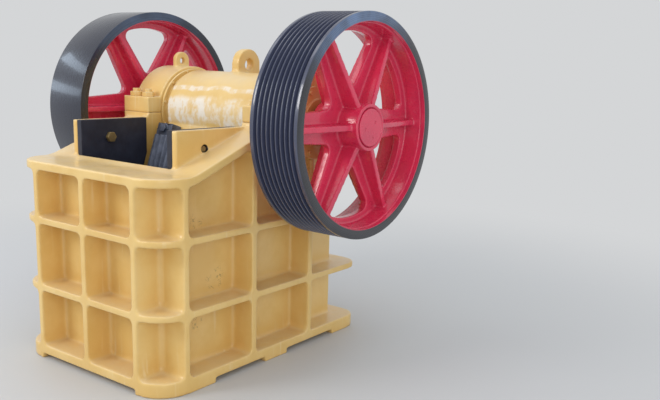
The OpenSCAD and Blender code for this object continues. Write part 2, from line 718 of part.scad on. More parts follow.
// A wedge block with its bolt at each end of the jaw holds down the moving plate
module jaw_clamps() color(plate_steel) jaw_placed() both_sides() {
    box([jaw_half_w - clamp_w, -slab_n - clamp_t, -plate_top_s + gap],
        [jaw_half_w - plate_play / 2, -clamp_n - gap, -lip_s - jaw_side_gap]);
    translate([jaw_half_w - clamp_w / 2, -slab_n - clamp_t, -(plate_top_s + lip_s) / 2]) rotate([90, 0, 0])
        cylinder(r = clamp_bolt_r, h = clamp_bolt_r * 0.6, $fn = 6);
}

module tension_rod() color(bare_steel) placed()
    translate([0, rod_start_y, rod_z]) rotate([-90, 0, 0]) cylinder(r = rod_r, h = rod_end_y - rod_start_y);

module rod_nuts() color(bare_steel) placed() translate([0, rod_end_y - rod_nut_len, rod_z])
    rotate([-90, 0, 0]) difference() {
        union() {
            cylinder(r = spring_r + spring_wire_r * 2, h = rod_washer_t);
            translate([0, 0, rod_washer_t]) cylinder(r = rod_r * 1.75, h = rod_r * 1.6, $fn = 6);
        }
        translate([0, 0, -eps]) cylinder(r = rod_r + gap, h = rod_nut_len);
    }

module eccentric_shaft() color(bare_steel) placed() translate([0, shaft_y, shaft_z]) rotate([0, 90, 0]) {
    translate([0, throw, -jaw_half_w]) cylinder(r = eccentric_r, h = 2 * jaw_half_w);
    translate([0, 0, -wheel_x + shaft_play]) cylinder(r = journal_r, h = 2 * (wheel_x - shaft_play));
    translate([0, 0, -wheel_x - wheel_w + hub_cap_seat])
        cylinder(r = wheel_seat_r, h = 2 * (wheel_x + wheel_w - hub_cap_seat));
}

module wheel_placed() placed() translate([wheel_x, shaft_y, shaft_z]) rotate([0, 90, 0]) children();

module rim(grooves) {
    land = (wheel_w - (grooves - 1) * groove_pitch) / 2;
    inner = wheel_r - wheel_rim_t;
    rotate_extrude() polygon(concat([[inner, 0], [wheel_r, 0]],
        [for (i = [0:1:grooves - 1]) let (z = land + i * groove_pitch) each [
            [wheel_r, z - groove_pitch * 0.4], [wheel_r - groove_h, z - groove_pitch * 0.22],
            [wheel_r - groove_h, z + groove_pitch * 0.22], [wheel_r, z + groove_pitch * 0.4]]],
        [[wheel_r, wheel_w], [inner, wheel_w]]));
}

module pulley_rim() color(gloss_black) wheel_placed() rim(groove_count);
module flywheel_rim() color(gloss_black) mirror([1, 0, 0]) wheel_placed() rim(0);

web_r = wheel_r - wheel_rim_t;
window_r = web_r - web_band_w;
// The edge of a spoke leans in by this angle from hub to rim
spoke_lean = atan((spoke_hub_w - spoke_rim_w) / 2 / (window_r - hub_r));
// Centre of the round corner beside a spoke at distance d from the wheel axis
function corner_v(u) = spoke_hub_w / 2 - (u - hub_r) * tan(spoke_lean) + window_corner_r / cos(spoke_lean);
function corner_u(d, u = 300, n = 12) = n == 0 ? u : corner_u(d, sqrt(d * d - pow(corner_v(u), 2)), n - 1);
// Mirror image of a point in the line half way between two spokes
function across(p) = [cos(60) * p[0] + sin(60) * p[1], sin(60) * p[0] - cos(60) * p[1]];
module window_outline() {
    u1 = corner_u(window_r - window_corner_r);
    // Outer corner centre beside the first spoke
    c1 = [u1, corner_v(u1)];
    // Apex: the corner centre on the line half way between the two spokes
    u0 = (spoke_hub_w / 2 + hub_r * tan(spoke_lean) + window_corner_r / cos(spoke_lean))
        / (tan(30) + tan(spoke_lean));
    c0 = [u0, corner_v(u0)];
    c2 = across(c1);
    turn = atan2(c1[1], c1[0]);
    polygon(concat(arc(c1, window_corner_r, -90 - spoke_lean, turn, 8),
        arc([0, 0], window_r, turn + 2, 58 - turn, 10),
        arc(c2, window_corner_r, 60 - turn, 150 + spoke_lean, 8),
        arc(c0, window_corner_r, 150 + spoke_lean, 270 - spoke_lean, 8)));
}

// Where a spoke rib ends inside the hub and under the rim
hub_root_r = hub_r * 0.95;
rib_end_r = web_r - spoke_rib_t / 8;
module spider() {
    mid_z = wheel_w / 2;
    difference() {
        union() {
            translate([0, 0, mid_z - web_t / 2]) linear_extrude(web_t) difference() {
                circle(web_r);
                for (i = [0:5]) rotate(i * 60 - 90) window_outline();
            }
            cylinder(r = hub_r, h = wheel_w);
            for (i = [0:5]) rotate(i * 60 - 90) translate([0, spoke_rib_t / 2, mid_z]) rotate([90, 0, 0])
                linear_extrude(spoke_rib_t) polygon([[hub_root_r, -spoke_rib_hub_h], [rib_end_r, -spoke_rib_rim_h],
                    [rib_end_r, spoke_rib_rim_h], [hub_root_r, spoke_rib_hub_h]]);
        }
        translate([0, 0, -eps]) cylinder(r = wheel_seat_r + gap, h = wheel_w + 2 * eps);
        translate([0, 0, wheel_w - hub_cap_seat]) cylinder(r = hub_cap_r + hub_groove_w, h = hub_cap_seat + eps);
    }
}

module pulley_spider() color(gloss_red) wheel_placed() spider();
module flywheel_spider() color(gloss_red) mirror([1, 0, 0]) wheel_placed() spider();

module hub_cap() color(gloss_red) wheel_placed() translate([0, 0, wheel_w - hub_cap_seat])
    cylinder(r = hub_cap_r, h = hub_cap_seat + hub_cap_crown);
module pulley_hub_cap() hub_cap();
module flywheel_hub_cap() mirror([1, 0, 0]) hub_cap();

front_wall();
side_wall_left();
side_wall_right();
rear_wall();
base_flange();
base_pads();
lower_rib();
upper_rib();
top_rim();
cheek_wall_left();
cheek_wall_right();
cheek_plate_left();
cheek_plate_right();
cheek_bolts();
fixed_jaw_plate();
bearing_seat_left();
bearing_seat_right();
bearing_cap_left();
bearing_cap_right();
cap_bolts();
bearing_left();
bearing_right();
seal_ring_left();
seal_ring_right();
toggle_block();
toggle_plate();
tension_spring();
swing_jaw();
moving_jaw_plate();
jaw_clamps();
tension_rod();
rod_nuts();
eccentric_shaft();
pulley_rim();
pulley_spider();
flywheel_rim();
flywheel_spider();
pulley_hub_cap();
flywheel_hub_cap();
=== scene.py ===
# %% [markdown]
# # A jaw crusher in Blender
# A jaw crusher breaks stone between a fixed and a swinging toothed plate. Two heavy wheels on one
# shaft carry it through each bite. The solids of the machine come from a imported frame: this script
# gives them their finish, and rebuilds the cast pieces so that they have soft edges and fillets.
# The frame is loaded first and never moved, so that every piece made here can be placed by it.

# %% Load the frame
import json
import math
import bmesh
import bpy
import numpy as np
from mathutils import Matrix, Vector


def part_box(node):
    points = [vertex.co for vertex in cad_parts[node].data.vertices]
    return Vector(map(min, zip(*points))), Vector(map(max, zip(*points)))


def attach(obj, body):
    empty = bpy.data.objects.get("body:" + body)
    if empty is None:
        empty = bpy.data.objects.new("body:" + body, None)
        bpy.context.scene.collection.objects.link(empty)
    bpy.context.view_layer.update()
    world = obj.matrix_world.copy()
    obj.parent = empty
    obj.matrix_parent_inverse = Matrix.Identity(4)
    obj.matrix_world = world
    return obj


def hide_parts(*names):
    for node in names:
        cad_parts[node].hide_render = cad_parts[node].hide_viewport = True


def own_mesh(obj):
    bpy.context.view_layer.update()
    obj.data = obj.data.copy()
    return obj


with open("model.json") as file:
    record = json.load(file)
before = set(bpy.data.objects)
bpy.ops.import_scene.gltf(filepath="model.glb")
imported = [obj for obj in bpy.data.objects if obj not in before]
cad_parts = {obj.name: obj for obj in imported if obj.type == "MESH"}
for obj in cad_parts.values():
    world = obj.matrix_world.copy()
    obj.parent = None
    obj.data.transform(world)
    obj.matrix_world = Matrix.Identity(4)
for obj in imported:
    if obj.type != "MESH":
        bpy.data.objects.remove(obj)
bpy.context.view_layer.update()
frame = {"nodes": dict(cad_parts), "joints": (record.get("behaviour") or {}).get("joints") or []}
scene = bpy.context.scene

# %% [markdown]
# ## Where things are
# The shaft is the machine's natural ruler. Its axis runs along X, and the wheels, the bearings and
# the jaw all sit around it. Its place is read from the joint in the record, so that no piece made
# here has to be fitted by eye.

# %% Places read from the frame
spin = next(j for j in frame["joints"] if j["name"] == "shaft_spin")
SHAFT = Vector(spin["pos_m"])
wheel_low, wheel_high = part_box("pulley_rim")
WHEEL_R = (wheel_high.z - wheel_low.z) / 2
spider_low, spider_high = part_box("pulley_spider")
RIM_INNER_R = (spider_high.z - spider_low.z) / 2
WHEEL_X0, WHEEL_X1 = wheel_low.x, wheel_high.x      # inner and outer end of the right wheel
print("shaft axis at y, z:", round(SHAFT.y, 3), round(SHAFT.z, 3), "wheel radius:", round(WHEEL_R, 3))

# %% [markdown]
# ## The camera
# The photographer stood at the front right corner, a little above the shaft. The camera is set by
# its place, two view angles and a small roll. A matrix built from three directions says exactly
# where it looks, with no tracking constraint. The sensor shift stands for the crop of the picture.

# %% Camera
CAMERA_PLACE = (2.9283, -2.7926, 1.4358)
AZIMUTH, ELEVATION, ROLL = (math.radians(a) for a in (34.08, 11.055, 2.165))
back = Vector((math.sin(AZIMUTH) * math.cos(ELEVATION), -math.cos(AZIMUTH) * math.cos(ELEVATION),
    math.sin(ELEVATION)))
level = (-back).cross(Vector((0, 0, 1))).normalized()
upward = level.cross(-back)
across = math.cos(ROLL) * level + math.sin(ROLL) * upward
upright = -math.sin(ROLL) * level + math.cos(ROLL) * upward

camera_data = bpy.data.cameras.new("camera")
camera_data.lens = 42.45
camera_data.sensor_width = 36
camera_data.shift_x = -0.0754
camera_data.shift_y = 0.0229
camera = bpy.data.objects.new("camera", camera_data)
scene.collection.objects.link(camera)
camera.matrix_world = Matrix.Translation(CAMERA_PLACE) @ Matrix((across, upright, back)).transposed().to_4x4()
scene.camera = camera
scene.view_settings.view_transform = "Standard"
print("camera at", [round(v, 2) for v in camera.location])

# %% [markdown]
# ## A small kit for shaders
# Materials here are node trees, and small helpers keep them readable. The main three add a node and
# fill its sockets, mix two colours by a mask, and turn a value into a mask between two limits.
# A socket gets either a plain value or a link, whichever is handed to it.

# %% Shader helpers
def plug(tree, socket, value):
    """Puts a value, or a link from another socket, into a socket."""
    if isinstance(value, bpy.types.NodeSocket):
        tree.links.new(value, socket)
    elif value is not None:
        socket.default_value = value


def add(tree, kind, inputs=None, **settings):
    """Adds a shader node, with its settings and its inputs by name or number."""
    made = tree.nodes.new("ShaderNode" + kind)
    for name, value in settings.items():
        setattr(made, name, value)
    for key, value in (inputs or {}).items():
        plug(tree, made.inputs[key], value)
    return made


def calc(tree, operation, a, b=None):
    """One step of arithmetic."""
    return add(tree, "Math", {0: a, 1: b}, operation=operation).outputs[0]


def blend(tree, mask, a, b):
    """Colour a where the mask is 0 and colour b where it is 1."""
    mix = add(tree, "Mix", {0: mask, 6: a, 7: b}, data_type="RGBA")
    return mix.outputs[2]


def mask_between(tree, value, low, high, to_low=0.0, to_high=1.0):
    """A soft step: to_low where the value is under low, to_high where it is over high."""
    step = add(tree, "MapRange", {0: value, 1: low, 2: high, 3: to_low, 4: to_high},
        interpolation_type="SMOOTHSTEP")
    return step.outputs[0]


def noise(tree, vector, scale, detail=3.0, roughness=0.5):
    """Cloudy noise from 0 to 1."""
    made = add(tree, "TexNoise", {"Vector": vector, "Scale": scale, "Detail": detail, "Roughness": roughness})
    return made.outputs[0]


def colour(r, g, b):
    """A colour from the 0 to 255 numbers that a picture shows."""
    values = [v / 255 for v in (r, g, b)]
    linear = [v / 12.92 if v <= 0.04045 else ((v + 0.055) / 1.055) ** 2.4 for v in values]
    return (*linear, 1.0)


print("shader helpers ready; warm yellow is", [round(v, 3) for v in colour(222, 190, 110)])

# %% [markdown]
# ## Shared effects as node groups
# Paint on a casting is never even. The same few effects return on every finish: edges where paint
# runs thin, with a painted highlight on them, painted shade in the corners, the grain of the casting,
# and streaks that ran down. Each effect is a node group with named inputs, built once and placed in
# each material with its own values.

# %% Node groups: a maker, edges and corners
def new_group(name, inputs, outputs):
    """An empty node group. Inputs are (name, kind, default), outputs are (name, kind)."""
    tree = bpy.data.node_groups.new(name, "ShaderNodeTree")
    for label, kind, default in inputs:
        socket = tree.interface.new_socket(label, in_out="INPUT", socket_type="NodeSocket" + kind)
        if default is not None:
            socket.default_value = default
    for label, kind in outputs:
        tree.interface.new_socket(label, in_out="OUTPUT", socket_type="NodeSocket" + kind)
    return tree, tree.nodes.new("NodeGroupInput"), tree.nodes.new("NodeGroupOutput")


def place(tree, group, inputs=None):
    """Places a node group in a material and hands back its outputs."""
    made = tree.nodes.new("ShaderNodeGroup")
    made.node_tree = group
    for key, value in (inputs or {}).items():
        plug(tree, made.inputs[key], value)
    return made.outputs


# The edge mask serves both worn paint and a painted highlight along edges and crests.
def edges_group():
    """Finds edges: where a rounded normal and the true normal part, away from corners."""
    tree, start, end = new_group("Worn and highlighted edges", [("Radius", "Float", 0.006), ("Low", "Float", 0.02),
        ("High", "Float", 0.2)], [("Edges", "Float")])
    rounded = add(tree, "Bevel", {"Radius": start.outputs["Radius"]}, samples=4)
    surface = add(tree, "NewGeometry")
    dot = add(tree, "VectorMath", {0: rounded.outputs[0], 1: surface.outputs["Normal"]},
        operation="DOT_PRODUCT")
    turn = calc(tree, "SUBTRACT", 1.0, dot.outputs["Value"])
    found = mask_between(tree, turn, start.outputs["Low"], start.outputs["High"])
    open_air = add(tree, "AmbientOcclusion", {"Distance": 0.03}, samples=4)
    proud = mask_between(tree, open_air.outputs["AO"], 0.55, 0.85)
    plug(tree, end.inputs["Edges"], calc(tree, "MULTIPLY", found, proud))
    return tree


def corners_group():
    """Finds corners and hollows, where light fades, for painted shade."""
    tree, start, end = new_group("Shaded corners", [("Reach", "Float", 0.08), ("Low", "Float", 0.35),
        ("High", "Float", 0.9)], [("Corners", "Float")])
    shade = add(tree, "AmbientOcclusion", {"Distance": start.outputs["Reach"]}, samples=6)
    plug(tree, end.inputs["Corners"], mask_between(tree, shade.outputs["AO"], start.outputs["Low"],
        start.outputs["High"], 1.0, 0.0))
    return tree


EDGE_WEAR_AND_HIGHLIGHT, SHADED_CORNERS = edges_group(), corners_group()
print("groups:", EDGE_WEAR_AND_HIGHLIGHT.name, "and", SHADED_CORNERS.name)

# %% Node groups: grain of the casting, streaks and patches
def grain_group():
    """Height of a cast surface under thick paint: slow waves, small lumps and fine grain, in metres."""
    tree, start, end = new_group("Cast grain", [("Waves", "Float", 0.0010), ("Lumps", "Float", 0.0004),
        ("Grain", "Float", 0.00005)], [("Height", "Float")])
    place_on = add(tree, "TexCoord").outputs["Object"]
    total = None
    for label, scale, detail in (("Waves", 11.0, 2.0), ("Lumps", 55.0, 3.0), ("Grain", 600.0, 2.0)):
        part = calc(tree, "MULTIPLY", noise(tree, place_on, scale, detail), start.outputs[label])
        total = part if total is None else calc(tree, "ADD", total, part)
    plug(tree, end.inputs["Height"], total)
    return tree


def streaks_group():
    """Marks that ran down a wall: noise drawn out along Z, broken up by slower noise."""
    tree, start, end = new_group("Streaks", [("Scale", "Float", 40.0), ("Amount", "Float", 0.6)],
        [("Streaks", "Float")])
    place_on = add(tree, "TexCoord").outputs["Object"]
    drawn = add(tree, "Mapping", {"Vector": place_on, "Scale": (1.0, 1.0, 0.07)}).outputs[0]
    fine = noise(tree, drawn, start.outputs["Scale"], 3.0, 0.55)
    slow = noise(tree, place_on, 3.5, 2.0)
    lines = mask_between(tree, fine, 0.56, 0.74)
    here = mask_between(tree, slow, 0.45, 0.65)
    plug(tree, end.inputs["Streaks"], calc(tree, "MULTIPLY", calc(tree, "MULTIPLY", lines, here),
        start.outputs["Amount"]))
    return tree


def patches_group():
    """Blotches with ragged edges, such as rubbed filler or flaked paint."""
    tree, start, end = new_group("Patches", [("Scale", "Float", 9.0), ("Cover", "Float", 0.6),
        ("Softness", "Float", 0.06)], [("Patches", "Float")])
    place_on = add(tree, "TexCoord").outputs["Object"]
    shape = noise(tree, place_on, start.outputs["Scale"], 6.0, 0.62)
    low = calc(tree, "SUBTRACT", start.outputs["Cover"], start.outputs["Softness"])
    high = calc(tree, "ADD", start.outputs["Cover"], start.outputs["Softness"])
    plug(tree, end.inputs["Patches"], mask_between(tree, shape, low, high))
    return tree


def settled_group():
    """Dust that settles on faces that look up, thicker in some places than in others."""
    tree, start, end = new_group("Settled dust", [("Amount", "Float", 0.5)], [("Dust", "Float")])
    facing = add(tree, "SeparateXYZ", {0: add(tree, "NewGeometry").outputs["Normal"]}).outputs["Z"]
    upward_share = mask_between(tree, facing, 0.45, 0.95)
    place_on = add(tree, "TexCoord").outputs["Object"]
    uneven = mask_between(tree, noise(tree, place_on, 8.0, 5.0, 0.6), 0.3, 0.7, 0.35, 1.0)
    plug(tree, end.inputs["Dust"], calc(tree, "MULTIPLY", calc(tree, "MULTIPLY", upward_share, uneven),
        start.outputs["Amount"]))
    return tree


CAST_GRAIN, STREAKS, PATCHES, SETTLED_DUST = grain_group(), streaks_group(), patches_group(), settled_group()
print("groups:", CAST_GRAIN.name, STREAKS.name, PATCHES.name, SETTLED_DUST.name)

# %% Node groups: rings left by turning, and a mark at one place
def turned_group():
    """Fine rings around the shaft axis, as a lathe or a brush held to a turning wheel leaves them,
    with the distance from that axis in metres and the angle round it, 0 in front and growing upward."""
    tree, start, end = new_group("Turned rings", [("Fineness", "Float", 260.0)],
        [("Rings", "Float"), ("Slow rings", "Float"), ("Radius", "Float"), ("Angle", "Float")])
    place_on = add(tree, "TexCoord").outputs["Object"]
    offset = add(tree, "VectorMath", {0: place_on, 1: tuple(SHAFT)}, operation="SUBTRACT").outputs[0]
    split = add(tree, "SeparateXYZ", {0: offset})
    y, z = split.outputs["Y"], split.outputs["Z"]
    radius = calc(tree, "SQRT", calc(tree, "ADD", calc(tree, "MULTIPLY", y, y), calc(tree, "MULTIPLY", z, z)))
    ring_place = add(tree, "CombineXYZ", {0: split.outputs["X"], 1: radius, 2: 0.0}).outputs[0]
    plug(tree, end.inputs["Rings"], noise(tree, ring_place, start.outputs["Fineness"], 3.0, 0.6))
    plug(tree, end.inputs["Slow rings"], noise(tree, ring_place, 45.0, 2.0))
    plug(tree, end.inputs["Radius"], radius)
    plug(tree, end.inputs["Angle"], calc(tree, "ARCTAN2", z, calc(tree, "MULTIPLY", y, -1.0)))
    return tree


def smudge_group():
    """A scribbled dark mark: broken contour lines of a noise near one place."""
    tree, start, end = new_group("Smudge", [("Place", "Vector", (0.0, 0.0, 0.0)), ("Reach", "Float", 0.06)],
        [("Smudge", "Float")])
    place_on = add(tree, "TexCoord").outputs["Object"]
    apart = add(tree, "VectorMath", {0: place_on, 1: start.outputs["Place"]}, operation="DISTANCE")
    apart = calc(tree, "DIVIDE", apart.outputs["Value"], start.outputs["Reach"])
    near = mask_between(tree, apart, 0.5, 1.0, 1.0, 0.0)
    level = calc(tree, "ABSOLUTE", calc(tree, "SUBTRACT", noise(tree, place_on, 34.0, 3.0, 0.6), 0.5))
    lines = mask_between(tree, level, 0.008, 0.022, 1.0, 0.0)
    broken = mask_between(tree, noise(tree, place_on, 23.0, 2.0), 0.45, 0.6)
    plug(tree, end.inputs["Smudge"], calc(tree, "MULTIPLY", near, calc(tree, "MULTIPLY", lines, broken)))
    return tree


TURNED_RINGS, SMUDGE = turned_group(), smudge_group()
print("groups:", TURNED_RINGS.name, SMUDGE.name)

# %% [markdown]
# ## The finishes
# The frame wears a warm yellow enamel, brushed thickly over a rough casting. The wheels are gloss
# black on the tread and crimson inside. The crushing plates are dark steel. Each finish is a
# function that fills one material. Plain numbers such as the coat are set on the shader itself.

# %% Finish: yellow enamel on castings
def shader(name, roughness=0.4, **plain):
    """A material with its Principled shader. Plain values go on the shader's own sockets."""
    material = bpy.data.materials.new(name)
    material.use_nodes = True
    tree = material.node_tree
    principled = tree.nodes["Principled BSDF"]
    principled.inputs["Roughness"].default_value = roughness
    for key, value in plain.items():
        principled.inputs[key.replace("_", " ")].default_value = value
    return material, tree, principled


def add_bump(tree, principled, height, strength=1.0):
    """Feeds a height in metres to the shader's normal."""
    bump = add(tree, "Bump", {"Height": height, "Strength": strength, "Distance": 1.0})
    plug(tree, principled.inputs["Normal"], bump.outputs[0])


def blend_value(tree, mask, a, b):
    """The number a where the mask is 0 and b where it is 1."""
    return add(tree, "Mix", {0: mask, 2: a, 3: b}, data_type="FLOAT").outputs[0]


def share(tree, mask, part):
    """A mask made weaker."""
    return calc(tree, "MULTIPLY", mask, part)


# The corner yellow is painted shade for corners and hollows; the pale yellow paints runs and edges, the edges
# partly as a painted highlight.
YELLOW_LIGHT, YELLOW_DEEP = colour(230, 196, 126), colour(223, 185, 110)
YELLOW_CORNER_SHADE, YELLOW_PALE = colour(212, 164, 84), colour(238, 224, 186)
# The darkest tone here is painted shade in the gap round each cheek bolt.
DUST, SOIL, HOLE_SHADE = colour(224, 214, 192), colour(98, 84, 56), colour(36, 32, 30)
# Scribbled marks on the right wall's pockets, and how far they reach
SMUDGES = {(0.38, -0.462, 0.722): 0.05, (0.38, -0.357, 0.440): 0.07, (0.38, -0.462, 0.250): 0.05}
BOLT_SHADE_R = 0.019    # reach of the painted shade round the bolt in each cheek wall
FILLER_WHITE = colour(236, 230, 220)
# Bands of filler round the barrel: angle of the middle, half width and soft edge in radians, strength
FILLER_BANDS = ((0.66, 0.03, 0.06, 0.8), (0.12, 0.24, 0.14, 1.0))


def bolt_hole_shade(tree, place_on):
    """Mask of a dark ring of painted shade round the bolt that shows through each cheek wall."""
    low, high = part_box("cheek_bolts")
    axis = (low + high) / 2
    offset = add(tree, "VectorMath", {0: place_on, 1: tuple(axis)}, operation="SUBTRACT").outputs[0]
    flat = add(tree, "VectorMath", {0: offset, 1: (0.0, 1.0, 1.0)}, operation="MULTIPLY").outputs[0]
    away = add(tree, "VectorMath", {0: flat}, operation="LENGTH").outputs["Value"]
    ring = mask_between(tree, away, BOLT_SHADE_R, BOLT_SHADE_R + 0.003, 1.0, 0.0)
    wall_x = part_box("cheek_wall_right")[1].x
    sideways = calc(tree, "ABSOLUTE", add(tree, "SeparateXYZ", {0: place_on}).outputs["X"])
    on_wall = mask_between(tree, sideways, wall_x + 0.001, wall_x + 0.002, 1.0, 0.0)
    return calc(tree, "MULTIPLY", ring, on_wall)


def rubbed_filler(tree, place_on):
    """Mask of the pale filler on the barrel: bands along the shaft, wiped round it in smears."""
    angle = place(tree, TURNED_RINGS)["Angle"]
    slow = calc(tree, "MULTIPLY", calc(tree, "SUBTRACT", noise(tree, place_on, 5.0, 2.0), 0.5), 0.35)
    angle = calc(tree, "ADD", angle, slow)
    bands = None
    for middle, half, soft, strength in FILLER_BANDS:
        away = calc(tree, "ABSOLUTE", calc(tree, "SUBTRACT", angle, middle))
        band = share(tree, mask_between(tree, away, half, half + soft, 1.0, 0.0), strength)
        bands = band if bands is None else calc(tree, "MAXIMUM", bands, band)
    along = add(tree, "SeparateXYZ", {0: place_on}).outputs["X"]
    wiped = add(tree, "CombineXYZ", {0: along, 1: share(tree, angle, 0.09), 2: 0.0}).outputs[0]
    smears = mask_between(tree, noise(tree, wiped, 22.0, 5.0, 0.6), 0.40, 0.53)
    rubbed = place(tree, PATCHES, {"Scale": 6.0, "Cover": 0.42, "Softness": 0.08})["Patches"]
    worn = calc(tree, "MAXIMUM", calc(tree, "MULTIPLY", smears, rubbed), share(tree, rubbed, 0.35))
    return share(tree, calc(tree, "MULTIPLY", bands, worn), 0.85)


def yellow_enamel(name, filler=False):
    """Brushed enamel: two yellows, corners deepened as painted shade, pale runs, pale edges that are worn
    paint with a painted highlight, dust on top, small marks.
    """
    material, tree, principled = shader(name, Coat_Weight=0.3, Coat_Roughness=0.16)
    place_on = add(tree, "TexCoord").outputs["Object"]
    clouds = noise(tree, place_on, 4.0, 4.0, 0.6)
    base = blend(tree, mask_between(tree, clouds, 0.35, 0.65), YELLOW_LIGHT, YELLOW_DEEP)
    # Painted shade: corners and hollows turn a deeper yellow.
    corners = place(tree, SHADED_CORNERS, {"Reach": 0.10})["Corners"]
    base = blend(tree, share(tree, corners, 0.4), base, YELLOW_CORNER_SHADE)
    # Pale edges: worn paint with a painted highlight.
    edges = place(tree, EDGE_WEAR_AND_HIGHLIGHT, {"Radius": 0.008})["Edges"]
    base = blend(tree, share(tree, edges, 0.6), base, YELLOW_PALE)
    runs = place(tree, STREAKS, {"Scale": 38.0, "Amount": 0.35})["Streaks"]
    base = blend(tree, runs, base, YELLOW_PALE)
    base = blend(tree, place(tree, SETTLED_DUST, {"Amount": 0.35})["Dust"], base, DUST)
    marks = place(tree, PATCHES, {"Scale": 13.0, "Cover": 0.75, "Softness": 0.015})["Patches"]
    base = blend(tree, share(tree, marks, 0.35), base, SOIL)
    rough = mask_between(tree, noise(tree, place_on, 18.0, 3.0), 0.3, 0.7, 0.28, 0.44)
    if filler:
        mask = rubbed_filler(tree, place_on)
        base, rough = blend(tree, mask, base, FILLER_WHITE), blend_value(tree, mask, rough, 0.6)
    else:
        for spot, reach in SMUDGES.items():
            mark = place(tree, SMUDGE, {"Place": spot, "Reach": reach})["Smudge"]
            base = blend(tree, share(tree, mark, 0.6), base, SOIL)
        # Painted shade: a dark ring round each cheek bolt.
        base = blend(tree, bolt_hole_shade(tree, place_on), base, HOLE_SHADE)
    plug(tree, principled.inputs["Base Color"], base)
    plug(tree, principled.inputs["Roughness"], rough)
    height = place(tree, CAST_GRAIN, {"Waves": 0.0016, "Lumps": 0.0004, "Grain": 0.00004})["Height"]
    add_bump(tree, principled, height, 0.8)
    return material


FRAME_ENAMEL = yellow_enamel("frame_enamel")
JAW_ENAMEL = yellow_enamel("jaw_enamel", filler=True)
print("yellow finishes:", FRAME_ENAMEL.name, JAW_ENAMEL.name)

# %% Finish: gloss black and crimson on the wheels
# The bluish film colour is a painted sheen, and it also paints highlights on edges.
BLACK, BLACK_SHEEN, BLUE_SHEEN_FILM = colour(16, 18, 28), colour(38, 42, 58), colour(104, 132, 174)
# The tread tones are a painted sheen over the black.
PULLEY_TREAD_SHEEN, FLYWHEEL_TREAD_SHEEN = colour(72, 78, 104), colour(38, 42, 58)
CRIMSON, CRIMSON_DEEP, CRIMSON_PALE = colour(222, 52, 88), colour(188, 44, 80), colour(232, 128, 156)


def crimson(tree, place_on):
    """Crimson paint: darker in clouds and, as painted shade, in corners; paler where it is rubbed, and on
    edges as wear with a painted highlight.
    """
    # Painted shade in corners, mixed with random darker clouds.
    corners = place(tree, SHADED_CORNERS, {"Reach": 0.07})["Corners"]
    clouds = mask_between(tree, noise(tree, place_on, 7.0, 4.0), 0.35, 0.7, 0.0, 0.5)
    base = blend(tree, calc(tree, "MAXIMUM", share(tree, corners, 0.6), clouds), CRIMSON, CRIMSON_DEEP)
    # Pale edges: wear with a painted highlight.
    edges = place(tree, EDGE_WEAR_AND_HIGHLIGHT, {"Radius": 0.006})["Edges"]
    base = blend(tree, share(tree, edges, 0.35), base, CRIMSON_PALE)
    flakes = place(tree, PATCHES, {"Scale": 16.0, "Cover": 0.72, "Softness": 0.02})["Patches"]
    return blend(tree, share(tree, flakes, 0.4), base, CRIMSON_PALE)


SHEEN_ANGLE = 1.35       # middle of the painted bluish sheen, round the shaft from the front upward


def wheel_black(name, tread_sheen, sheen_share, gloss):
    """Thick gloss black with fine rings: a tread made paler by a painted sheen, a painted bluish sheen
    on one part of the flat side, painted highlights on the edges, and crimson on the rim's inner face."""
    material, tree, principled = shader(name, Coat_Weight=gloss, Coat_Roughness=0.09)
    place_on = add(tree, "TexCoord").outputs["Object"]
    rings = place(tree, TURNED_RINGS, {"Fineness": 320.0})
    ringed = mask_between(tree, rings["Slow rings"], 0.4, 0.7, 0.0, 0.35)
    cloudy = mask_between(tree, noise(tree, place_on, 5.0, 4.0), 0.4, 0.7, 0.0, 0.45)
    base = blend(tree, calc(tree, "MAXIMUM", ringed, cloudy), BLACK, BLACK_SHEEN)
    away = calc(tree, "ABSOLUTE", calc(tree, "SUBTRACT", rings["Angle"], SHEEN_ANGLE))
    sideways = calc(tree, "ABSOLUTE", add(tree, "SeparateXYZ", {0: place_on}).outputs["X"])
    from_middle = calc(tree, "ABSOLUTE", calc(tree, "SUBTRACT", sideways, (WHEEL_X0 + WHEEL_X1) / 2))
    half_width = (WHEEL_X1 - WHEEL_X0) / 2
    flat_side = mask_between(tree, from_middle, half_width - 0.0012, half_width - 0.0004)
    # Painted sheen: the tread takes a paler, bluish tone.
    base = blend(tree, flat_side, blend(tree, 0.7, base, tread_sheen), base)
    # Painted bluish sheen on the upper part of the flat sides.
    sheen_mask = calc(tree, "MULTIPLY", mask_between(tree, away, 0.2, 1.0, 1.0, 0.0), flat_side)
    uneven = mask_between(tree, noise(tree, place_on, 9.0, 4.0), 0.3, 0.7, 0.4, 0.9)
    sheen_mask = calc(tree, "MULTIPLY", sheen_mask, uneven)
    base = blend(tree, share(tree, sheen_mask, sheen_share), base, BLUE_SHEEN_FILM)
    # Painted highlight on edges and crests, in the bluish sheen colour.
    edges = place(tree, EDGE_WEAR_AND_HIGHLIGHT, {"Radius": 0.003, "Low": 0.05, "High": 0.4})["Edges"]
    base = blend(tree, share(tree, edges, 0.5), base, BLUE_SHEEN_FILM)
    inside = mask_between(tree, rings["Radius"], RIM_INNER_R + 0.0008, RIM_INNER_R + 0.0022, 1.0, 0.0)
    base = blend(tree, inside, base, crimson(tree, place_on))
    plug(tree, principled.inputs["Base Color"], base)
    plug(tree, principled.inputs["Roughness"], mask_between(tree, rings["Rings"], 0.3, 0.7, 0.18, 0.36))
    grain = place(tree, CAST_GRAIN, {"Waves": 0.0006, "Lumps": 0.0001, "Grain": 0.00001})["Height"]
    add_bump(tree, principled, calc(tree, "ADD", grain, calc(tree, "MULTIPLY", rings["Rings"], 0.00004)), 0.6)
    return material


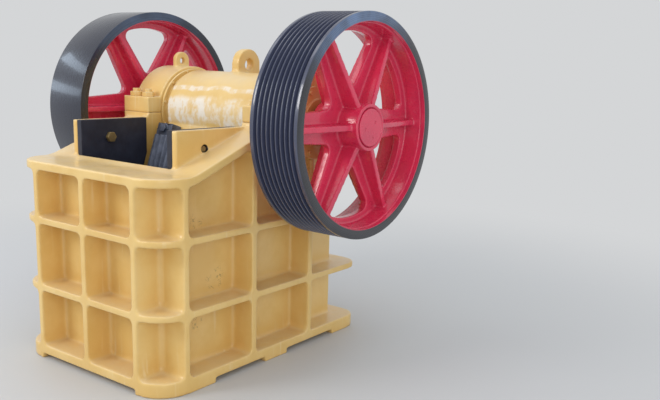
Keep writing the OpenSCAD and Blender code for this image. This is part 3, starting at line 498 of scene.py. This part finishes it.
def wheel_red():
    """Crimson gloss over a cast spider."""
    material, tree, principled = shader("wheel_red", Coat_Weight=0.7, Coat_Roughness=0.1)
    place_on = add(tree, "TexCoord").outputs["Object"]
    plug(tree, principled.inputs["Base Color"], crimson(tree, place_on))
    rough = mask_between(tree, noise(tree, place_on, 20.0), 0.3, 0.7, 0.2, 0.36)
    plug(tree, principled.inputs["Roughness"], rough)
    height = place(tree, CAST_GRAIN, {"Waves": 0.0018, "Lumps": 0.0006, "Grain": 0.00003})["Height"]
    add_bump(tree, principled, height, 0.9)
    return material


WHEEL_BLACKS = {"pulley": wheel_black("pulley_black", PULLEY_TREAD_SHEEN, sheen_share=1.0, gloss=0.8),
    "flywheel": wheel_black("flywheel_black", FLYWHEEL_TREAD_SHEEN, sheen_share=0.4, gloss=0.4)}
WHEEL_RED = wheel_red()
print("wheel finishes:", [m.name for m in WHEEL_BLACKS.values()], WHEEL_RED.name)

# %% Finish: plate steel, bare steel and browned bolts
def steel(name, dark, light, roughness, metallic, edge_share):
    """Steel with clouds of two tones and lighter edges, partly worn and partly a painted highlight. Roughness
    is a lowest and a highest value.
    """
    material, tree, principled = shader(name, Metallic=metallic)
    place_on = add(tree, "TexCoord").outputs["Object"]
    clouds = mask_between(tree, noise(tree, place_on, 14.0, 5.0, 0.65), 0.35, 0.7)
    base = blend(tree, share(tree, clouds, 0.6), dark, light)
    runs = place(tree, STREAKS, {"Scale": 70.0, "Amount": 0.35})["Streaks"]
    base = blend(tree, runs, base, light)
    # Lighter edges: wear with a painted highlight.
    edges = place(tree, EDGE_WEAR_AND_HIGHLIGHT, {"Radius": 0.004})["Edges"]
    edge_tone = tuple(min(1.0, 2.2 * v + 0.05) for v in light[:3]) + (1.0,)
    base = blend(tree, share(tree, edges, edge_share), base, edge_tone)
    plug(tree, principled.inputs["Base Color"], base)
    rough = mask_between(tree, noise(tree, place_on, 30.0), 0.3, 0.7, *roughness)
    plug(tree, principled.inputs["Roughness"], rough)
    height = place(tree, CAST_GRAIN, {"Waves": 0.0003, "Lumps": 0.0001, "Grain": 0.00003})["Height"]
    add_bump(tree, principled, height)
    return material


CHEEK_STEEL = steel("cheek_steel", colour(34, 36, 50), colour(50, 54, 70), (0.38, 0.55), 0.1, 0.15)
TOOTH_STEEL = steel("tooth_steel", colour(86, 92, 108), colour(136, 144, 164), (0.34, 0.5), 0.2, 0.9)
CLAMP_STEEL = steel("clamp_steel", colour(58, 64, 80), colour(126, 136, 158), (0.34, 0.5), 0.2, 0.9)
BARE_STEEL = steel("bare_steel", colour(120, 118, 114), colour(168, 166, 160), (0.3, 0.45), 0.9, 0.4)
BROWN_STEEL = steel("brown_steel", colour(120, 100, 64), colour(178, 156, 106), (0.35, 0.5), 0.4, 0.5)
print("steels:", CHEEK_STEEL.name, TOOTH_STEEL.name, CLAMP_STEEL.name, BARE_STEEL.name, BROWN_STEEL.name)

# %% [markdown]
# ## From solids to a casting
# Real castings have no sharp edges: the pattern maker rounds every rib, and sand fills each corner
# with a fillet. The solids have crisp edges. A voxel remesh runs the touching solids together into
# one skin. Its points are then moved by small steps towards their neighbours, more in hollows than
# on edges, which lays wide fillets and keeps the ribs thin. A decimation drops the points that flat
# walls don't need. Bevels would be sharper but can't blend so many ribs.

# %% Mesh helpers
def new_object(label, mesh):
    """An object in the scene for a mesh."""
    obj = bpy.data.objects.new(label, mesh)
    scene.collection.objects.link(obj)
    return obj


def apply_modifiers(obj):
    """Gives the object the mesh that its modifiers make, and takes them off."""
    ready = obj.evaluated_get(bpy.context.evaluated_depsgraph_get())
    mesh = bpy.data.meshes.new_from_object(ready)
    obj.modifiers.clear()
    obj.data = mesh


def shade_smooth(mesh, sharp_degrees=None):
    """Smooth shading, with edges sharper than an angle kept."""
    mesh.polygons.foreach_set("use_smooth", [True] * len(mesh.polygons))
    if sharp_degrees:
        mesh.set_sharp_from_angle(angle=math.radians(sharp_degrees))


def finish_piece(obj, body, material, replaced=()):
    """Gives a piece its material, the body it rides on and the nodes it stands for."""
    obj.data.materials.clear()
    obj.data.materials.append(material)
    obj.data.name = obj.name
    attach(obj, body)
    if replaced:
        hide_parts(*replaced)
    return obj


def summed(index, values, count):
    """Adds up rows of values that belong to the same point."""
    return np.stack([np.bincount(index, values[:, k], count) for k in range(3)], axis=1)


FILL, WEAR = 0.5, 0.14      # shares of a step taken by points in hollows and on edges
FACING_EVERY = 4            # rounds between two looks at which way the surface faces


def soften(mesh, rounds, fill, wear):
    """Moves each point of a mesh of quads towards its neighbours, by the share fill in hollows and
    by the smaller share wear on edges."""
    count = len(mesh.vertices)
    points = np.empty(3 * count)
    mesh.vertices.foreach_get("co", points)
    points = points.reshape(-1, 3)
    ends = np.empty(2 * len(mesh.edges), np.int64)
    mesh.edges.foreach_get("vertices", ends)
    a, b = ends.reshape(-1, 2).T
    corners = np.empty(len(mesh.loops), np.int64)
    mesh.loops.foreach_get("vertex_index", corners)
    quads = corners.reshape(-1, 4)
    degree = np.bincount(ends, minlength=count)[:, None]
    for turn in range(rounds):
        if turn % FACING_EVERY == 0:
            first, second, third, fourth = (points[quads[:, k]] for k in range(4))
            facing = np.cross(third - first, fourth - second)
            normals = sum(summed(quads[:, k], facing, count) for k in range(4))
        step = (summed(a, points[b], count) + summed(b, points[a], count)) / degree - points
        hollow = (step * normals).sum(axis=1) > 0
        points += step * np.where(hollow, fill, wear)[:, None]
    mesh.vertices.foreach_set("co", points.ravel())
    mesh.update()


# %% The casting maker
FINE = 1.0


def cast(label, bm, body, material, replaced, voxel, rounds, triangles):
    """Runs the solids in bm together into one casting with fillets, which stands for their nodes."""
    mesh = bpy.data.meshes.new(label)
    bm.to_mesh(mesh)
    bm.free()
    obj = new_object(label, mesh)
    remesh = obj.modifiers.new("skin", "REMESH")
    remesh.mode = "VOXEL"
    remesh.voxel_size = voxel * FINE
    apply_modifiers(obj)
    soften(obj.data, rounds, FILL, WEAR)
    quads = len(obj.data.polygons)
    thin = obj.modifiers.new("thin", "DECIMATE")
    thin.ratio = min(1.0, triangles / (2 * quads))
    thin.use_collapse_triangulate = True
    apply_modifiers(obj)
    shade_smooth(obj.data)
    print(label, "quads:", quads, "kept triangles:", len(obj.data.polygons))
    return finish_piece(obj, body, material, replaced)


def solids_of(*names):
    """The solids of some nodes in one edit mesh."""
    bm = bmesh.new()
    for name in names:
        bm.from_mesh(frame["nodes"][name].data)
    bmesh.ops.remove_doubles(bm, verts=bm.verts, dist=1e-5)
    return bm


# %% The cast frame
FRAME_NODES = ["front_wall", "side_wall_left", "side_wall_right", "rear_wall", "base_flange", "base_pads",
    "lower_rib", "upper_rib", "top_rim", "cheek_wall_left", "cheek_wall_right",
    "bearing_seat_left", "bearing_seat_right"]
cast("frame_casting", solids_of(*FRAME_NODES), "frame", FRAME_ENAMEL, FRAME_NODES,
    voxel=0.005, rounds=22, triangles=185000)

# %% [markdown]
# ## Bearing caps and the swing jaw
# Each cap is a half ring over a bearing, with a foot for its nuts and a lifting eye. The jaw is a
# heavy casting: a barrel round the shaft, a slab that carries the toothed plate, and ribs behind.

# %% Caps and jaw
for side in ("left", "right"):
    cast("cap_casting_" + side, solids_of("bearing_cap_" + side), "frame", FRAME_ENAMEL,
        ["bearing_cap_" + side], voxel=0.004, rounds=10, triangles=30000)
cast("jaw_casting", solids_of("swing_jaw"), "jaw", JAW_ENAMEL, ["swing_jaw"],
    voxel=0.005, rounds=16, triangles=85000)

# %% [markdown]
# ## Wheels
# The rims are turned parts, so their meshes are spun from an outline. Each outline corner is rounded,
# and the rounded crests between the grooves catch the light in thin lines. The web and the inner
# side of the rim are one casting on the real wheel. A thin sleeve joins the spider before it is
# remeshed, so that fillets run from the spokes into the rim.

# %% Turned outlines
def rounded_outline(corners, radius, steps=3):
    """A closed outline with its corners rounded. A corner is (x, distance from the axis)."""
    outline = []
    for i, corner in enumerate(corners):
        here = Vector(corner)
        into = here - Vector(corners[i - 1])
        out = Vector(corners[(i + 1) % len(corners)]) - here
        # A cut stays a little under half of each side, so that two of them never meet
        cut = min(radius, into.length / 2.1, out.length / 2.1)
        start, end = here - cut * into.normalized(), here + cut * out.normalized()
        for k in range(steps + 1):
            t = k / steps
            outline.append(start * (1 - t) ** 2 + here * 2 * t * (1 - t) + end * t ** 2)
    return outline


def spin_outline(bm, outline, segments):
    """Adds the ring that a closed outline sweeps round the shaft."""
    rings = []
    for k in range(segments):
        angle = 2 * math.pi * k / segments
        rings.append([bm.verts.new((x, SHAFT.y + r * math.cos(angle), SHAFT.z + r * math.sin(angle)))
            for x, r in outline])
    for k in range(segments):
        here, following = rings[k], rings[(k + 1) % segments]
        for i in range(len(outline)):
            j = (i + 1) % len(outline)
            bm.faces.new((here[i], here[j], following[j], following[i]))
    bmesh.ops.recalc_face_normals(bm, faces=bm.faces)


def mirrored(corners):
    """The same outline on the left side of the machine."""
    return [(-x, r) for x, r in corners]


# %% Rims
GROOVES, PITCH, GROOVE_DEPTH = 9, 0.026, 0.020      # as on the grooved wheel's solid
OPEN_SHARE, FLOOR_SHARE = 0.40, 0.22                # half widths of a groove as shares of the pitch
CREST_R = 0.0024                                    # rounding of the outline's corners
SEGMENTS = 176


def rim_corners(grooves):
    """Corners of a rim's outline from its inner end, with V grooves in the tread."""
    first = (WHEEL_X0 + WHEEL_X1 - (grooves - 1) * PITCH) / 2
    corners = [(WHEEL_X0, RIM_INNER_R), (WHEEL_X0, WHEEL_R)]
    mouth, bottom, bottom_r = OPEN_SHARE * PITCH, FLOOR_SHARE * PITCH, WHEEL_R - GROOVE_DEPTH
    for i in range(grooves):
        middle = first + i * PITCH
        corners += [(middle - mouth, WHEEL_R), (middle - bottom, bottom_r),
            (middle + bottom, bottom_r), (middle + mouth, WHEEL_R)]
    return corners + [(WHEEL_X1, WHEEL_R), (WHEEL_X1, RIM_INNER_R)]


for wheel, corners in (("pulley", rim_corners(GROOVES)), ("flywheel", mirrored(rim_corners(0)))):
    bm = bmesh.new()
    spin_outline(bm, rounded_outline(corners, CREST_R), SEGMENTS)
    mesh = bpy.data.meshes.new(wheel)
    bm.to_mesh(mesh)
    bm.free()
    rim = new_object(wheel + "_turned_rim", mesh)
    shade_smooth(mesh, 50)
    finish_piece(rim, "rotor", WHEEL_BLACKS[wheel], [wheel + "_rim"])
    print(rim.name, "faces:", len(mesh.polygons))

# %% Spiders with the inner side of the rim
SLEEVE_SETBACK, SLEEVE_T, SLEEVE_ROOT = 0.022, 0.008, 0.004


def sleeve_corners():
    """The layer of the casting that lines the rim, rooted a little inside it."""
    x0, x1 = WHEEL_X0 + SLEEVE_SETBACK, WHEEL_X1 - SLEEVE_SETBACK
    inner, outer = RIM_INNER_R - SLEEVE_T, RIM_INNER_R + SLEEVE_ROOT
    return [(x0, inner), (x0, outer), (x1, outer), (x1, inner)]


for wheel, corners in (("pulley", sleeve_corners()), ("flywheel", mirrored(sleeve_corners()))):
    bm = solids_of(wheel + "_spider")
    spin_outline(bm, corners, SEGMENTS)
    cast(wheel + "_casting", bm, "rotor", WHEEL_RED, [wheel + "_spider"],
        voxel=0.004, rounds=12, triangles=95000)

# %% Hub ends
DENT_RIM, DENT_SLOPE = 1.15, 0.3        # outer edge of a dent and width of its slope, in its radii


def dent_depth(y, z, dents):
    """How deep the dents are at a place on the disc. A dent is (distance, angle, radius, depth)."""
    deepest = 0.0
    for away, turn, size, depth in dents:
        apart = math.hypot(y - away * math.cos(turn), z - away * math.sin(turn)) / size
        deepest = max(deepest, depth * max(0.0, min(1.0, (DENT_RIM - apart) / DENT_SLOPE)))
    return deepest


def polar_disc(label, x0, x1, radius, dents, segments=160, spacing=0.0014):
    """A round disc with dents in its outer face, which lies at x1."""
    side = math.copysign(1.0, x1 - x0)
    edge = 0.003
    verts, faces = [], []
    radii = [0.001 + spacing * k for k in range(int((radius - edge) / spacing))] + [radius - edge]
    rings = [(r, 0.0) for r in radii]
    rings += [(radius - edge * (1 - math.sin(t)), edge * (1 - math.cos(t))) for t in (0.5, 1.0, math.pi / 2)]
    rings.append((radius, abs(x1 - x0)))
    for r, drop in rings:
        for k in range(segments):
            angle = 2 * math.pi * k / segments
            y, z = r * math.cos(angle), r * math.sin(angle)
            sunk = dent_depth(y, z, dents) if r < radius - edge else drop
            verts.append((x1 - side * sunk, SHAFT.y + y, SHAFT.z + z))
    for i in range(len(rings) - 1):
        for k in range(segments):
            m = (k + 1) % segments
            faces.append((i * segments + k, i * segments + m, (i + 1) * segments + m, (i + 1) * segments + k))
    faces.append(tuple(range(segments)))
    faces.append(tuple(range((len(rings) - 1) * segments, len(rings) * segments)))
    mesh = bpy.data.meshes.new(label)
    mesh.from_pydata(verts, [], faces)
    bm = bmesh.new()
    bm.from_mesh(mesh)
    bmesh.ops.recalc_face_normals(bm, faces=bm.faces)
    bm.to_mesh(mesh)
    bm.free()
    shade_smooth(mesh, 40)
    return new_object(label, mesh)


# Three dark dents in the end face: (distance from the axis, angle, radius, depth)
DENTS = [(0.042, 3.31, 0.006, 0.004), (0.052, -1.24, 0.006, 0.004), (0.041, 0.59, 0.006, 0.004)]
for wheel in ("pulley", "flywheel"):
    low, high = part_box(wheel + "_hub_cap")
    inner, outer = (low.x, high.x) if wheel == "pulley" else (high.x, low.x)
    disc = polar_disc(wheel + "_hub_disc", inner, outer, (high.z - low.z) / 2, DENTS)
    finish_piece(disc, "rotor", WHEEL_RED, [wheel + "_hub_cap"])
    print(disc.name, "faces:", len(disc.data.polygons))

# %% [markdown]
# ## Machined pieces and fasteners
# Machined and forged pieces keep their shape and size, and only their edges are broken. A bevel over
# a copy of the solid does this. Small screws hold the rings beside the jaw and the bearing covers.
# The photo is too small to count them, so their number and size are a guess.

# %% Pieces with broken edges
def rounded_copy(name, body, material, width, segments=2):
    """A copy of a node's solid with rounded edges, which stands for it."""
    bm = solids_of(name)
    bmesh.ops.dissolve_limit(bm, angle_limit=math.radians(1), verts=bm.verts, edges=bm.edges)
    mesh = bpy.data.meshes.new(name)
    bm.to_mesh(mesh)
    bm.free()
    shade_smooth(mesh)
    obj = new_object(name + "_rounded", mesh)
    bevel = obj.modifiers.new("edges", "BEVEL")
    bevel.width = width
    bevel.segments = segments
    bevel.angle_limit = math.radians(32)
    weighted = obj.modifiers.new("normals", "WEIGHTED_NORMAL")
    weighted.mode = "FACE_AREA"
    apply_modifiers(obj)
    return finish_piece(obj, body, material, [name])


ROUNDED = [("cheek_plate_left", "frame", "plate_steel", CHEEK_STEEL, 0.003),
    ("cheek_plate_right", "frame", "plate_steel", CHEEK_STEEL, 0.003),
    ("fixed_jaw_plate", "frame", "plate_steel", TOOTH_STEEL, 0.002),
    ("moving_jaw_plate", "jaw", "plate_steel", TOOTH_STEEL, 0.002),
    ("jaw_clamps", "jaw", "plate_steel", CLAMP_STEEL, 0.004),
    ("cheek_bolts", "frame", "bare_steel", BROWN_STEEL, 0.003),
    ("cap_bolts", "frame", "frame_enamel", FRAME_ENAMEL, 0.002),
    ("seal_ring_left", "frame", "frame_enamel", FRAME_ENAMEL, 0.003),
    ("seal_ring_right", "frame", "frame_enamel", FRAME_ENAMEL, 0.003),
    ("toggle_block", "frame", "bare_steel", BARE_STEEL, 0.003),
    ("toggle_plate", "frame", "bare_steel", BARE_STEEL, 0.003),
    ("tension_rod", "jaw", "bare_steel", BARE_STEEL, 0.002),
    ("rod_nuts", "jaw", "bare_steel", BARE_STEEL, 0.002)]
for name, body, slot, material, width in ROUNDED:
    copy = rounded_copy(name, body, material, width)
    print(copy.name, "faces:", len(copy.data.polygons))

# %% Screws of the rings and covers
def prism(bm, foot, direction, levels, sides):
    """Adds a stack of regular outlines along a direction. Levels are (height, radius)."""
    turned_to = direction.to_track_quat("Z", "Y")
    rings = [[bm.verts.new(foot + turned_to @ Vector((r * math.cos(2 * math.pi * k / sides),
        r * math.sin(2 * math.pi * k / sides), up))) for k in range(sides)] for up, r in levels]
    for lower, upper in zip(rings, rings[1:]):
        for k in range(sides):
            bm.faces.new((lower[k], lower[(k + 1) % sides], upper[(k + 1) % sides], upper[k]))
    bm.faces.new(rings[0])
    bm.faces.new(rings[-1])


def hexagon(bm, foot, direction, across, height):
    """A hexagon head with a broken upper edge. Across is the distance over its flats."""
    corner = across / math.sqrt(3)
    prism(bm, foot, direction, ((0, corner), (0.8 * height, corner), (height, 0.86 * corner)), 6)


def screw_circle(label, x, outward, radius, count, across, height):
    """A ring of screws round the shaft on a face that lies at x."""
    bm = bmesh.new()
    for k in range(count):
        angle = 2 * math.pi * (k + 0.5) / count
        hexagon(bm, Vector((x, SHAFT.y + radius * math.cos(angle), SHAFT.z + radius * math.sin(angle))),
            Vector((outward, 0, 0)), across, height)
    bmesh.ops.recalc_face_normals(bm, faces=bm.faces)
    mesh = bpy.data.meshes.new(label)
    bm.to_mesh(mesh)
    bm.free()
    shade_smooth(mesh, 35)
    return finish_piece(new_object(label, mesh), "frame", FRAME_ENAMEL)


ring_low, ring_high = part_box("seal_ring_right")
SEAL_R, SEAL_T = (ring_high.z - ring_low.z) / 2, 0.028
STEP_T = SEAL_T / 2         # rings and covers have a thinner outer step, which takes the screws
# Circles of screws: radius, count, size across the flats, height
SEAL_SCREWS, COVER_SCREWS = (0.95 * SEAL_R, 12, 0.013, 0.006), (0.155, 8, 0.020, 0.009)
for side, mirror in (("right", 1), ("left", -1)):
    screw_circle("seal_screws_" + side, mirror * (ring_low.x + STEP_T), -mirror, *SEAL_SCREWS)
    screw_circle("cover_screws_" + side, mirror * (ring_high.x - STEP_T), mirror, *COVER_SCREWS)
print("ring screws at radius", round(SEAL_SCREWS[0], 3))

# %% [markdown]
# ## The tension spring
# A round wire coil on the tension rod pulls the jaw back against the toggle plate. The photo hides
# it, so its wire, its turns and its closed ends are a guess. The solid is a coil as well, with plain
# cut ends and an eight-sided wire. It shortens as the jaw swings, but the coil made here keeps its length.

# %% Coil
spring_low, spring_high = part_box("tension_spring")
WIRE_R, TURNS = 0.007, 7
END_TURNS, LAY = 0.75, 1.6      # closed turns at each end, and their climb a turn in wire radii
COIL_R = (spring_high.x - spring_low.x) / 2 - WIRE_R
COIL_LENGTH = spring_high.y - spring_low.y


def coil_rise(turn):
    """How far the wire has climbed after some turns: little in the end turns, evenly between them."""
    open_turns = TURNS - 2 * END_TURNS
    climbing = min(max(turn - END_TURNS, 0.0), open_turns)
    closed = turn - climbing
    pitch = (COIL_LENGTH - 2 * WIRE_R - 2 * END_TURNS * LAY * WIRE_R) / open_turns
    return WIRE_R + climbing * pitch + closed * LAY * WIRE_R


def coil_mesh(per_turn=28, around=10):
    """A round wire along the coil."""
    centre_x, centre_z = (spring_low.x + spring_high.x) / 2, (spring_low.z + spring_high.z) / 2
    verts, faces = [], []
    steps = TURNS * per_turn
    for i in range(steps + 1):
        turn = i / per_turn
        for k in range(around):
            tilt = 2 * math.pi * k / around
            r = COIL_R + WIRE_R * math.cos(tilt)
            verts.append((centre_x + r * math.cos(2 * math.pi * turn),
                spring_low.y + coil_rise(turn) + WIRE_R * math.sin(tilt),
                centre_z + r * math.sin(2 * math.pi * turn)))
    for i in range(steps):
        for k in range(around):
            m = (k + 1) % around
            faces.append((i * around + k, (i + 1) * around + k, (i + 1) * around + m, i * around + m))
    faces += [tuple(range(around)), tuple(range(steps * around, (steps + 1) * around))]
    mesh = bpy.data.meshes.new("coil")
    mesh.from_pydata(verts, [], faces)
    shade_smooth(mesh, 60)
    return mesh


coil = finish_piece(new_object("coil_spring", coil_mesh()), "frame", BARE_STEEL,
    ["tension_spring"])
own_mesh(coil)

# %% Materials for the solids that are kept
KEPT = {"bearing_left": BARE_STEEL, "bearing_right": BARE_STEEL, "eccentric_shaft": BARE_STEEL}
for name, material in KEPT.items():
    mesh = frame["nodes"][name].data
    mesh.materials.clear()
    mesh.materials.append(material)
print("kept nodes with a finish:", len(KEPT))

# %% [markdown]
# ## The studio
# A plain pale floor, a large soft key light from the front left, a weaker one from the right, two
# window strips that show as bands in the black gloss, soft ceiling light, and an even surround. The
# brightness of the background is set only for what the camera and mirrors see, so that it doesn't
# light the machine.

# %% Floor and surround
BACKGROUND, FLOOR_GREY = (0.66, 0.67, 0.68, 1.0), (0.56, 0.57, 0.58, 1.0)
SKY_TONE, SKY_STRENGTH = (0.94, 0.97, 1.0, 1.0), 0.86
FLOOR_R, FADE_FROM, FADE_TO = 30.0, 1.2, 4.5


def seen_directly(tree):
    """1 on rays from the camera, off mirrors and through glass, and 0 on rays that carry light."""
    path = add(tree, "LightPath")
    return calc(tree, "MAXIMUM", path.outputs["Is Camera Ray"],
        calc(tree, "MAXIMUM", path.outputs["Is Glossy Ray"], path.outputs["Is Transmission Ray"]))


def floor_material():
    """Pale floor that keeps the machine's shadow and fades into the background far out."""
    material, tree, principled = shader("pale_floor", 0.6)
    principled.inputs["Base Color"].default_value = FLOOR_GREY
    output = tree.nodes["Material Output"]
    far = add(tree, "Emission", {"Color": BACKGROUND, "Strength": 1.0})
    place_on = add(tree, "TexCoord").outputs["Object"]
    distance = add(tree, "VectorMath", {0: place_on}, operation="LENGTH").outputs["Value"]
    fade = mask_between(tree, distance, FADE_FROM, FADE_TO)
    far_share = calc(tree, "MULTIPLY", fade, seen_directly(tree))
    mix = add(tree, "MixShader", {0: far_share, 1: principled.outputs[0], 2: far.outputs[0]})
    plug(tree, output.inputs["Surface"], mix.outputs[0])
    return material


floor_mesh = bpy.data.meshes.new("floor")
bm = bmesh.new()
bmesh.ops.create_circle(bm, cap_ends=True, segments=96, radius=FLOOR_R)
bm.to_mesh(floor_mesh)
bm.free()
floor_mesh.materials.append(floor_material())
floor = new_object("floor", floor_mesh)

world = bpy.data.worlds.new("surround")
scene.world = world
world.use_nodes = True
tree = world.node_tree
tree.nodes.clear()
seen = seen_directly(tree)
lighting = add(tree, "Background", {"Color": SKY_TONE, "Strength": SKY_STRENGTH})
shown = add(tree, "Background", {"Color": BACKGROUND, "Strength": 1.0})
mix = add(tree, "MixShader", {0: seen, 1: lighting.outputs[0], 2: shown.outputs[0]})
plug(tree, add(tree, "OutputWorld").inputs["Surface"], mix.outputs[0])
print("floor and surround ready")

# %% Lamps
def area_lamp(name, spot, aim, size, power, tone=(1.0, 1.0, 1.0)):
    """A soft rectangular lamp at a spot, turned to an aim point."""
    data = bpy.data.lights.new(name, "AREA")
    data.shape = "RECTANGLE"
    data.size, data.size_y = size
    data.energy = power
    data.color = tone
    lamp = bpy.data.objects.new(name, data)
    scene.collection.objects.link(lamp)
    lamp.location = spot
    lamp.rotation_euler = (Vector(aim) - Vector(spot)).to_track_quat("-Z", "Y").to_euler()
    lamp.visible_camera = False
    return lamp


AIM, WINDOW_AIM = (0.0, -0.1, 0.9), (-0.7, 0.0, 1.2)
WINDOW_TONE = (0.70, 0.84, 1.0)
area_lamp("key", (-2.2, -4.2, 3.4), AIM, size=(1.8, 1.8), power=86, tone=(1.0, 0.97, 0.94))
area_lamp("fill", (4.6, -3.4, 1.8), AIM, size=(3.0, 2.4), power=52, tone=(1.0, 0.98, 0.95))
area_lamp("window_low", (-4.4, -2.6, 2.0), WINDOW_AIM, size=(2.2, 0.50), power=12, tone=WINDOW_TONE)
area_lamp("window_high", (-4.2, -1.9, 3.3), WINDOW_AIM, size=(2.2, 0.45), power=12, tone=WINDOW_TONE)
area_lamp("ceiling", (0.0, -0.6, 4.6), AIM, size=(5.0, 1.2), power=24)
